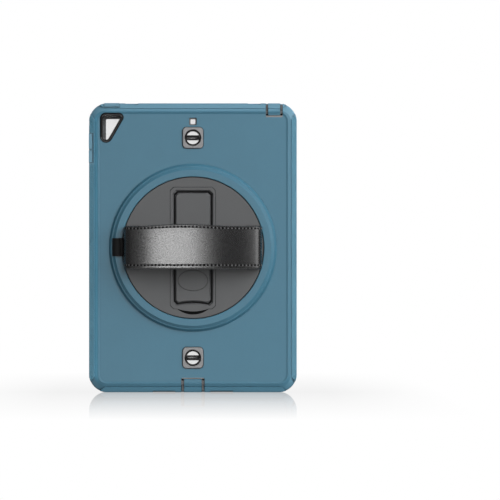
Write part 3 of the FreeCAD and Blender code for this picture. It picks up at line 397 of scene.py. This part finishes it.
_, rim_axes = object_axes(rim_light)
rim_x = rim_axes["X"]
rim_z = rim_math("SUBTRACT", rim_axes["Z"], middle_height * mm)
squared_x = past_corner(rim_x, half_width)
squared_z = past_corner(rim_z, middle_height)
above_zero = 1e-9
squared = rim_math("MAXIMUM", rim_math("ADD", squared_x, squared_z), above_zero)
inset = rim_math("SUBTRACT", corner_round * mm, rim_math("SQRT", squared))
sideways = rim_math("DIVIDE", squared_x, squared)
upright = rim_math("DIVIDE", squared_z, squared)
to_right = rim_math("MULTIPLY", sideways, rim_math("GREATER_THAN", rim_x, 0.0))
to_left = rim_math("MULTIPLY", sideways, rim_math("LESS_THAN", rim_x, 0.0))
to_top = rim_math("MULTIPLY", upright, rim_math("GREATER_THAN", rim_z, 0.0))
to_foot = rim_math("MULTIPLY", upright, rim_math("LESS_THAN", rim_z, 0.0))
print("rim outline:", 2 * half_width, "x", 2 * middle_height)

# %% Rim light: a painted highlight lightens the outer band, wider at the top and right where the light falls and left out at the foot, and the left slope
band_inset = 4.4
band_extra_right = 0.8
band_extra_top = 2.2
slope_inset = 7.7
blur = 0.4
band_limit = band_inset * mm
for share, extra in ((to_right, band_extra_right), (to_top, band_extra_top)):
    band_limit = rim_math("ADD", rim_math("MULTIPLY", share, extra * mm), band_limit)
past_band = rim_math("SUBTRACT", inset, band_limit)
off_band = range_node(rim_light, past_band, -blur * mm, blur * mm, smooth=True)
above_foot = rim_math("SUBTRACT", 1.0, to_foot)
on_band = rim_math("MULTIPLY", rim_math("SUBTRACT", 1.0, off_band), above_foot)
before_field = range_node(rim_light, inset, (slope_inset + blur) * mm, (slope_inset - blur) * mm, smooth=True)
on_slope = rim_math("MULTIPLY", off_band, before_field)
on_slope = rim_math("MULTIPLY", on_slope, rim_math("MULTIPLY", to_left, to_left))
band_gain = rim_math("MULTIPLY", on_band, given["Gain"])
slope_gain = rim_math("MULTIPLY", on_slope, given["Slope Gain"])
gain = rim_math("ADD", band_gain, slope_gain)
# Painted sheen: a little white is added on the band too.
with_painted_sheen = rim_light.nodes.new("ShaderNodeVectorMath")
with_painted_sheen.operation = "ADD"
rim_light.links.new(scaled(rim_light, given["Color"], rim_math("ADD", gain, 1.0)), with_painted_sheen.inputs[0])
rim_light.links.new(rim_math("MULTIPLY", on_band, given["Painted Sheen"]), with_painted_sheen.inputs[1])
rim_light.links.new(with_painted_sheen.outputs[0], result["Color"])
print("groups:", len(bpy.data.node_groups))

# %% [markdown]
# ## Materials
# Every finish on the case is one colour and roughness with small faults. The
# mottle group varies the colour, the crevice shade group paints shade where a
# point is closed in, the grain group raises tiny bumps, and a bevelled normal
# softens sharp edges. Some finishes also carry the painted recess shade or the
# painted rim light.

# %% Finish helper
def use_group(material, group, **values):
    """Places a shared group in a material with its own values."""
    node = material.node_tree.nodes.new("ShaderNodeGroup")
    node.node_tree = group
    for label, value in values.items():
        node.inputs[label].default_value = value
    return node


def finish_of(
    name, color, roughness, mottle_scale=60, mottle_amount=0.08, grain_scale=2500, grain_height=0.01,
    hollow=0.6, reach=2.0, soften=0.25, effect=None, effect_values=None, relief=grain,
):
    """A finish and its shader. The grain's height, the reach of the crevice shade and the
    radius of the softened edges are in millimetres; hollow is how dark the painted
    crevice shade gets."""
    material = bpy.data.materials.new(name)
    material.use_nodes = True
    tree = material.node_tree
    shader = tree.nodes["Principled BSDF"]
    shader.inputs["Roughness"].default_value = roughness
    last = use_group(material, mottle, Color=(*color, 1), Scale=mottle_scale, Amount=mottle_amount)
    if effect:
        tinted = use_group(material, effect, **(effect_values or {}))
        tree.links.new(last.outputs["Color"], tinted.inputs["Color"])
        if "Roughness" in tinted.outputs:
            tree.links.new(tinted.outputs["Roughness"], shader.inputs["Roughness"])
        last = tinted
    # Painted shade: the colour is darkened where a point is closed in by its neighbours.
    shadow = use_group(material, crevice_shade, Reach=reach * mm, Depth=hollow)
    tree.links.new(last.outputs["Color"], shadow.inputs["Color"])
    tree.links.new(shadow.outputs["Color"], shader.inputs["Base Color"])
    surface = use_group(material, relief, Scale=grain_scale)
    bump = tree.nodes.new("ShaderNodeBump")
    bump.inputs["Distance"].default_value = grain_height * mm
    tree.links.new(surface.outputs["Height"], bump.inputs["Height"])
    if soften:
        edges = tree.nodes.new("ShaderNodeBevel")
        edges.samples = 6
        edges.inputs["Radius"].default_value = soften * mm
        tree.links.new(edges.outputs["Normal"], bump.inputs["Normal"])
    tree.links.new(bump.outputs["Normal"], shader.inputs["Normal"])
    return material, shader


def wandering_roughness(material, shader, scale, low, high):
    """Lets a finish be glossier in some spots than in others."""
    rub = use_group(material, speckle, Scale=scale, Low=low, High=high)
    material.node_tree.links.new(rub.outputs["Value"], shader.inputs["Roughness"])


# %% Mix the rubber and the plastics
moulded_grey = (0.096, 0.099, 0.102)
# The blue rubber carries the rim light: a painted highlight on its outer band and left slope.
blue_tpu, blue_shader = finish_of("blue_tpu", (0.050, 0.176, 0.258), 0.5, effect=rim_light)
blue_shader.inputs["IOR"].default_value = 1.6
# The knurl's blue is lighter than the cover's and has little crevice shade: a painted highlight for its
# lit tips.
knurl_highlight_tpu, _ = finish_of("knurl_highlight_tpu", (0.085, 0.255, 0.355), 0.45, hollow=0.25, soften=0)
# The greys below carry the recess shade: painted shade in the stand's channel, the disc's notch and the
# pits in the shell.
grey_plastic, _ = finish_of(
    "grey_plastic", moulded_grey, 0.5, hollow=1.0, reach=0.9, effect=recess_shade,
    effect_values={"Top": -0.01162, "Bottom": -0.01143, "Floor": -0.0112},
)
disc_grey, _ = finish_of(
    "disc_grey", moulded_grey, 0.5, hollow=1.0, effect=recess_shade,
    effect_values={"Top": -0.01295, "Bottom": -0.0126, "Floor": -0.0102},
)
shell_grey, _ = finish_of(
    "shell_grey", (0.21, 0.212, 0.215), 0.5, hollow=0.9, effect=recess_shade,
    effect_values={"Top": -0.0064, "Bottom": -0.0058, "Floor": -0.0055},
)
slot_grey, _ = finish_of("slot_grey", (0.10, 0.102, 0.104), 0.5, hollow=0.8)
ledge_grey, _ = finish_of("ledge_grey", (0.24, 0.242, 0.245), 0.5, hollow=0.3)
light_grey_plastic, _ = finish_of("light_grey_plastic", (0.265, 0.265, 0.27), 0.4, hollow=0.4)
gloss_black, _ = finish_of("gloss_black", (0.004, 0.004, 0.0045), 0.07, grain_height=0.0)
bar_black, bar_shader = finish_of(
    "bar_black", (0.006, 0.006, 0.0065), 0.2, mottle_amount=0.3, grain_scale=900, grain_height=0.02
)
wandering_roughness(bar_black, bar_shader, 900.0, 0.1, 0.3)
frame_black, _ = finish_of(
    "textured_frame", (0.045, 0.045, 0.048), 0.55, grain_scale=1500, grain_height=0.05
)
acetal, _ = finish_of("acetal", (0.72, 0.72, 0.69), 0.35)
film, film_shader = finish_of("clear_film", (0.8, 0.84, 0.86), 0.06, grain_height=0.0)
film_shader.inputs["Alpha"].default_value = 0.15
print("finishes:", len(bpy.data.materials))

# %% Mix the steel, leather, thread, elastic and felt
hide = {"mottle_scale": 300, "mottle_amount": 0.3, "grain_scale": 2800, "hollow": 0.3, "soften": 0}
steel, steel_shader = finish_of("steel", (0.55, 0.55, 0.57), 0.3, grain_height=0.002)
steel_shader.inputs["Metallic"].default_value = 1
leather, leather_shader = finish_of("leather", (0.005, 0.005, 0.0055), 0.27, grain_height=0.007, **hide)
wandering_roughness(leather, leather_shader, 1600.0, 0.255, 0.285)
leather_shader.inputs["IOR"].default_value = 2.0
# Painted highlight: the paler leather of the puckers stands in for the light that they catch.
pucker_highlight_leather, pucker_highlight_shader = finish_of("pucker_highlight_leather", (0.11, 0.11, 0.113), 0.35, grain_height=0.01, **hide)
pucker_highlight_shader.inputs["IOR"].default_value = 1.8
thread, thread_shader = finish_of(
    "thread", (0.002, 0.002, 0.002), 0.9, grain_height=0.0, hollow=0.0, soften=0
)
thread_shader.inputs["Specular IOR Level"].default_value = 0.05
elastic, elastic_shader = finish_of(
    "elastic", (0.004, 0.004, 0.0045), 0.6, relief=weave, grain_scale=320, grain_height=0.08, soften=0
)
elastic_shader.inputs["Specular IOR Level"].default_value = 0.25
felt, _ = finish_of("felt", (0.065, 0.065, 0.068), 0.95, grain_scale=1200, grain_height=0.1)
print("finishes:", len(bpy.data.materials))

# %% Give the solid nodes their finishes
finish_by_slot = {
    "blue_tpu": blue_tpu, "grey_plastic": grey_plastic, "light_grey_plastic": light_grey_plastic,
    "black_plastic": gloss_black, "dark_frame": frame_black, "clear_film": film, "steel": steel,
    "black_leather": leather, "black_elastic": elastic, "white_acetal": acetal, "foam_pad": felt,
}
finish_by_node = {"back_shell": shell_grey, "swivel_disc": disc_grey}
for part in frame["record"]["subparts"]:
    finish = finish_by_node.get(part["node"], finish_by_slot[part["material_slot"]])
    for material_slot in frame["nodes"][part["node"]].material_slots:
        material_slot.material = finish

# %% [markdown]
# ## Hand strap
# The real strap is two layers of coated leather sewn near both edges. It bows
# over the disc, dives through a slot at each end and loops round a steel bar.
# A box bent by a modifier would smear its edges, so one cross-section is drawn
# as a face and swept along arcs and straight runs with the spin operator.

# %% Draw the cross-section
strap_half_width = 19.0
upper_seam = 16.9
lower_seam = -15.4
strap_section = [
    (0.0, 1.12), (8.0, 1.12), (15.9, 1.115), (16.3, 1.10), (16.6, 1.03), (upper_seam, 1.01),
    (17.2, 1.03), (17.5, 1.08), (17.7, 1.09), (18.4, 1.08), (18.7, 0.95), (18.92, 0.6),
    (strap_half_width, 0.2), (strap_half_width, -0.5), (18.8, -0.85), (18.4, -1.0), (8.0, -1.0),
    (0.0, -1.0), (-8.0, -1.0), (-18.4, -1.0), (-18.8, -0.85), (-strap_half_width, -0.5),
    (-strap_half_width, 0.2), (-18.92, 0.6), (-18.7, 0.95), (-18.4, 1.07), (-17.2, 1.10),
    (-16.3, 1.10), (-16.0, 1.08), (-15.75, 1.03), (lower_seam, 1.01), (-15.05, 1.03),
    (-14.8, 1.10), (-14.3, 1.115), (-8.0, 1.12),
]
print("section corners:", len(strap_section))

# %% Sweep helper
class Sweep:
    """Sweeps a face along arcs and runs in the XY plane, in millimetres."""

    def __init__(self, bm, outline, start, heading, middle):
        self.bm = bm
        self.started = False
        self.point = Vector((start[0], start[1], 0))
        self.heading = heading
        side = self.side()
        corners = []
        for z, t in outline:
            corners.append(bm.verts.new((self.point - side * t + Vector((0, 0, middle + z))) * mm))
        self.face = bm.faces.new(corners)

    def along(self):
        return Vector((math.cos(self.heading), math.sin(self.heading), 0))

    def side(self):
        return Vector((-math.sin(self.heading), math.cos(self.heading), 0))

    def keep_last(self, parts):
        """Goes on from the new end face, and removes the old one unless it closes the start."""
        old = self.face
        self.face = next(part for part in parts if isinstance(part, bmesh.types.BMFace))
        if self.started and old.is_valid:
            bmesh.ops.delete(self.bm, geom=[old], context="FACES_ONLY")
        self.started = True

    def turn(self, radius, degrees, steps):
        """Turns to the left for positive degrees and to the right for negative ones."""
        sign = 1 if degrees > 0 else -1
        centre = self.point + self.side() * radius * sign
        angle = math.radians(degrees)
        swept = bmesh.ops.spin(
            self.bm, geom=[self.face], cent=centre * mm, axis=(0, 0, 1), angle=angle, steps=steps
        )
        self.keep_last(swept["geom_last"])
        self.point = centre + Matrix.Rotation(angle, 3, "Z") @ (self.point - centre)
        self.heading += angle

    def run(self, length, steps):
        """Goes straight ahead."""
        for _ in range(steps):
            pushed = bmesh.ops.extrude_face_region(self.bm, geom=[self.face])
            corners = [part for part in pushed["geom"] if isinstance(part, bmesh.types.BMVert)]
            bmesh.ops.translate(self.bm, vec=self.along() * (length / steps) * mm, verts=corners)
            self.keep_last(pushed["geom"])
        self.point = self.point + self.along() * length

    def follow(self, route):
        """Makes the turns (radius, degrees, steps) and runs (length, steps) of a route."""
        for kind, *values in route:
            getattr(self, kind)(*values)


# %% Sweep one half
strap_top = 36.5
arch_radius, arch_degrees = 144.863, 22
shoulder_radius, shoulder_degrees = 9.0075, 68
over_the_disc = [("turn", arch_radius, arch_degrees, 22), ("turn", shoulder_radius, shoulder_degrees, 16)]
back_under = [("turn", 3.0, 90, 12), ("run", 6.9, 3)]
into_the_slot = [("turn", 1.5, -90, 8), ("run", 2.5, 1)]
round_the_bar = [("turn", 1.85, 180, 14)]
bm = bmesh.new()
sweep = Sweep(bm, strap_section, (0, -strap_top), 0, middle_height)
sweep.follow(over_the_disc + back_under + into_the_slot + round_the_bar)
print("half strap ends at", [round(v, 2) for v in sweep.point])

# %% Mirror it to the left half
merge_distance = 1e-6
swell = 1.6
swell_centre = -8.0
swell_reach = 42.0
swell_power = 1.5


def to_piece(bm, name, material, body, replaced=(), smooth=True):
    """Turns a bmesh into a finished piece that rides on a body."""
    mesh = bpy.data.meshes.new(name)
    bm.to_mesh(mesh)
    bm.free()
    mesh.materials.append(material)
    for face in mesh.polygons:
        face.use_smooth = smooth
    piece = bpy.data.objects.new(name, mesh)
    bpy.context.scene.collection.objects.link(piece)
    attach(piece, body)
    if replaced:
        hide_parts(*replaced)
    print(name, "faces:", len(mesh.polygons))


def mirror_to_left(bm, merge):
    """Adds the left half of a shape, and turns all faces outwards."""
    geom = bm.verts[:] + bm.edges[:] + bm.faces[:]
    bmesh.ops.mirror(bm, geom=geom, matrix=Matrix(), merge_dist=merge, axis="X")
    bmesh.ops.remove_doubles(bm, verts=bm.verts[:], dist=merge_distance)
    bmesh.ops.recalc_face_normals(bm, faces=bm.faces[:])


def widen(bm):
    """Lets the strap's upper edge swell towards the middle of the arch."""
    for vert in bm.verts:
        off_centre = min(1.0, abs(vert.co.x / mm - swell_centre) / swell_reach)
        share = max(0.0, math.cos(math.radians(90) * off_centre)) ** swell_power
        height = max(0.0, vert.co.z / mm - (middle_height - strap_half_width)) / (2 * strap_half_width)
        vert.co.z += swell * share * height * mm


at_middle = [face for face in bm.faces if all(abs(vert.co.x) < merge_distance for vert in face.verts)]
bmesh.ops.delete(bm, geom=at_middle, context="FACES_ONLY")
mirror_to_left(bm, merge_distance)
widen(bm)
to_piece(bm, "leather_strap", leather, "disc", ["hand_strap"])

# %% [markdown]
# ## Stitches
# A run of thick thread follows each long edge. Each stitch that shows is a
# small round-ended bead of thread in the seam, and between two stitches the
# leather puckers up. Each pucker is paler: a painted highlight for the light it
# catches. Bumps in the material would lie flat in a side view, so one bead is
# shaped and then spun with copies, first along the wide arch and then over the
# shoulder.

# %% Sew both edges
stitch_pitch = 3.3
strap_half_thick = 1


def sew(bm, height, bead_size, lift, shift):
    """One row of beads on the right half, so far above the strap's middle line."""
    bead = bmesh.ops.create_uvsphere(bm, u_segments=8, v_segments=6, radius=1)["verts"]
    bmesh.ops.scale(bm, vec=Vector(bead_size) * mm, verts=bead)
    start = Vector((0, -(strap_top + lift), middle_height + height))
    bmesh.ops.translate(bm, vec=start * mm, verts=bead)
    arch, shoulder = math.radians(arch_degrees), math.radians(shoulder_degrees)
    steps = round(arch * arch_radius / stitch_pitch)
    centre = Vector((0, -strap_top + arch_radius, 0))
    first = Matrix.Rotation(shift * arch / steps, 3, "Z")
    bmesh.ops.rotate(bm, cent=centre * mm, matrix=first, verts=bead)
    whole_bead = list({face for vert in bead for face in vert.link_faces}) + bead
    spun = bmesh.ops.spin(
        bm, geom=whole_bead, cent=centre * mm, axis=(0, 0, 1), angle=arch, steps=steps, use_duplicate=True
    )
    to_shoulder = Matrix.Rotation(arch, 3, "Z") @ Vector((0, shoulder_radius - arch_radius, 0))
    bmesh.ops.spin(
        bm, geom=spun["geom_last"], cent=(centre + to_shoulder) * mm, axis=(0, 0, 1), angle=shoulder,
        steps=round(shoulder * (shoulder_radius + strap_half_thick) / stitch_pitch), use_duplicate=True,
    )


def sewn_rows(name, material, bead_size, lift, shift):
    """Both rows of one kind of bead, on both halves of the strap."""
    bm = bmesh.new()
    for seam in (lower_seam, upper_seam):
        sew(bm, seam, bead_size, lift, shift)
    mirror_to_left(bm, -1)
    widen(bm)
    to_piece(bm, name, material, "disc")


sewn_rows("strap_stitches", thread, (1.05, 0.42, 1.02), 0.94, 0.0)
sewn_rows("strap_puckers", pucker_highlight_leather, (0.8, 0.24, 0.85), 0.93, 0.5)

# %% [markdown]
# ## Stylus loop
# A band of woven elastic is folded round the stylus and both ends are sewn to
# the strap's side. A tube would have no tab and no lap, so the same sweep makes
# it: a thin rounded section goes along the tab, once round the stylus and back
# along the tab.

# %% Sweep the loop
loop_box = [Vector(corner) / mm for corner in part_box("pencil_loop")]
band_half = (loop_box[1].z - loop_box[0].z) / 2
band_middle = (loop_box[1].z + loop_box[0].z) / 2
half_thick = 0.42
lip_thick = half_thick * 0.7
lip, rounding = 0.1, 0.35
upper_edge = [
    (band_half - rounding, half_thick), (band_half - lip, lip_thick), (band_half, 0.0),
    (band_half - lip, -lip_thick), (band_half - rounding, -half_thick),
]
band_section = upper_edge + [(-z, t) for z, t in reversed(upper_edge)]
tab_y = -14.55
loop_radius = 4.55
loop_route = [("run", 5.5, 3), ("turn", loop_radius, -316, 40), ("turn", 3.0, 46, 6), ("run", 1.0, 1)]
bm = bmesh.new()
sweep = Sweep(bm, band_section, (loop_box[1].x, tab_y), math.pi, band_middle)
sweep.follow(loop_route)
bmesh.ops.recalc_face_normals(bm, faces=bm.faces[:])
print("loop ends at", [round(v, 2) for v in sweep.point])
to_piece(bm, "elastic_loop", elastic, "disc", ["pencil_loop"])

# %% [markdown]
# ## Grip knurl
# Both long sides have a diamond knurl, so a hand doesn't slip. A bump texture
# would leave their outline smooth, so it is real geometry: one tiny pyramid,
# copied into a row and then into staggered rows. Each row stops where the
# smooth corner guards begin.

# %% Measure the side band
case_height = 2 * middle_height
band_drop = 1.0
band_run = 4.5
band_tilt = math.atan2(band_drop, band_run)
band_top_y = -6.5
side_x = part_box("front_bumper")[1].x / mm
back_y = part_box("back_cover")[0].y / mm
print("side face at x", round(side_x, 3), "back at y", round(back_y, 3))
print("band tilt", round(math.degrees(band_tilt), 1))

# %% Knurl both sides
knurl_pitch = 1.15
knurl_height = 0.18
knurl_sink = 0.02
knurl_rows = 7
first_inset = 0.6
guard_length = 7.5
guard_depth = 5.35
guard_margin = 0.6
corner_margin = 0.4
below_buttons, above_buttons = 202.6, 230.3


def row_cut(inset):
    """How far from the case's end a row stops, for its distance from the side."""
    guard_cut = guard_length + guard_length * inset / guard_depth + guard_margin
    across = corner_round + corner_margin - inset
    corner_cut = corner_round - math.sqrt(max(0, corner_round**2 - across**2))
    return max(guard_cut, corner_cut)


def knurl_side(name, sign, spans):
    """The knurl of one side, over spans (low, high) along the height."""
    bm = bmesh.new()
    tilt = Matrix.Rotation(sign * band_tilt, 4, "Z")
    upright_to_back = Matrix.Rotation(math.radians(90), 3, "X")
    foot_radius = knurl_pitch / 2 * mm * (1 + knurl_sink / knurl_height)
    for row in range(knurl_rows):
        inset = first_inset + row * knurl_pitch / 2
        shift = (row % 2) * knurl_pitch / 2
        cut = row_cut(inset)
        surface_y = band_top_y - inset * band_drop / band_run
        for low, high in spans:
            low, high = max(low, cut), min(high, case_height - cut)
            count = int((high - low) / knurl_pitch)
            made = bmesh.ops.create_cone(
                bm, cap_ends=True, segments=4, radius1=foot_radius, radius2=0,
                depth=(knurl_height + knurl_sink) * mm,
            )["verts"]
            bmesh.ops.rotate(bm, cent=(0, 0, 0), matrix=upright_to_back, verts=made)
            bmesh.ops.transform(bm, matrix=tilt, verts=made)
            middle_y = surface_y + (knurl_sink - knurl_height) / 2
            start = Vector((sign * (side_x - inset), middle_y, low + shift))
            bmesh.ops.translate(bm, vec=start * mm, verts=made)
            pyramid = list({face for vert in made for face in vert.link_faces}) + made
            for step in range(1, count):
                copy = bmesh.ops.duplicate(bm, geom=pyramid)
                moved = [part for part in copy["geom"] if isinstance(part, bmesh.types.BMVert)]
                bmesh.ops.translate(bm, vec=(0, 0, step * knurl_pitch * mm), verts=moved)
    bmesh.ops.recalc_face_normals(bm, faces=bm.faces[:])
    to_piece(bm, name, knurl_highlight_tpu, "case", smooth=False)


knurl_side("knurl_right", 1, [(0, case_height)])
knurl_side("knurl_left", -1, [(0, below_buttons), (above_buttons, case_height)])

# %% [markdown]
# ## Port surrounds
# Beside each port flap the grey shell shows: as a pale ledge along the fold,
# and at the bottom of the slot on each side. Paint on the cover would look
# flat, so each is a bar with eased edges, sunk until only its face is seen.

# %% Bar helper
bezel_proud = 0.5
field_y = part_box("camera_bezel")[0].y / mm + bezel_proud


def shell_bar(bm, low, high, ease=0.15):
    """A bar with eased edges between two corners in millimetres."""
    low, high = Vector(low), Vector(high)
    corners = bmesh.ops.create_cube(bm, size=1)["verts"]
    bmesh.ops.scale(bm, vec=(high - low) * mm, verts=corners)
    bmesh.ops.translate(bm, vec=(high + low) / 2 * mm, verts=corners)
    edges = list({edge for vert in corners for edge in vert.link_edges})
    bmesh.ops.bevel(
        bm, geom=edges, offset=ease * mm, segments=2, profile=0.5, affect="EDGES", material=-1,
        offset_type="OFFSET",
    )


# %% Lay the surrounds
ledge_sink = 0.5
ledge_proud = 0.05
ledge_reach = 2.1
slot_reach = 2.3
slot_gap = 0.08
slot_face_y, slot_bottom_y = -6.6, -5.4
ledges, linings = bmesh.new(), bmesh.new()
for flap, ledge, lining in (
    ("headphone_flap", (243.6, 245.1), (249.2, 254.6)),
    ("charging_flap", (12.0, 12.9), (1.4, 7.2)),
):
    low, high = (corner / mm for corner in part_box(flap))
    shell_bar(
        ledges, (low.x - ledge_reach, field_y - ledge_proud, ledge[0]),
        (high.x + ledge_reach, field_y + ledge_sink, ledge[1]),
    )
    beside_left = (low.x - slot_reach, low.x - slot_gap)
    beside_right = (high.x + slot_gap, high.x + slot_reach)
    for left, right in (beside_left, beside_right):
        shell_bar(linings, (left, slot_face_y, lining[0]), (right, slot_bottom_y, lining[1]), ease=0.3)
to_piece(ledges, "fold_ledges", ledge_grey, "case", smooth=False)
to_piece(linings, "slot_linings", slot_grey, "case", smooth=False)

# %% [markdown]
# ## Anchor bars
# Each anchor bar carries a low moulded crown, so it shows one soft streak of
# light along its middle. A flat bar would mirror one even tone. The crown is a
# ball pressed flat and laid on the bar.

# %% Crown both bars
crown_half_length = 5.1
crown_swell = 0.42
crown_margin = 0.25
crown_sink = 0.05
bm = bmesh.new()
for bar in ("upper_anchor_bar", "lower_anchor_bar"):
    low, high = (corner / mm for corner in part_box(bar))
    ball = bmesh.ops.create_uvsphere(bm, u_segments=48, v_segments=24, radius=1)["verts"]
    size = Vector((crown_half_length, crown_swell, (high.z - low.z) / 2 - crown_margin))
    bmesh.ops.scale(bm, vec=size * mm, verts=ball)
    middle = Vector(((low.x + high.x) / 2, low.y + crown_sink, (low.z + high.z) / 2))
    bmesh.ops.translate(bm, vec=middle * mm, verts=ball)
    print(bar, [round(v, 2) for v in (*low, *high)])
to_piece(bm, "anchor_bar_crowns", bar_black, "case")
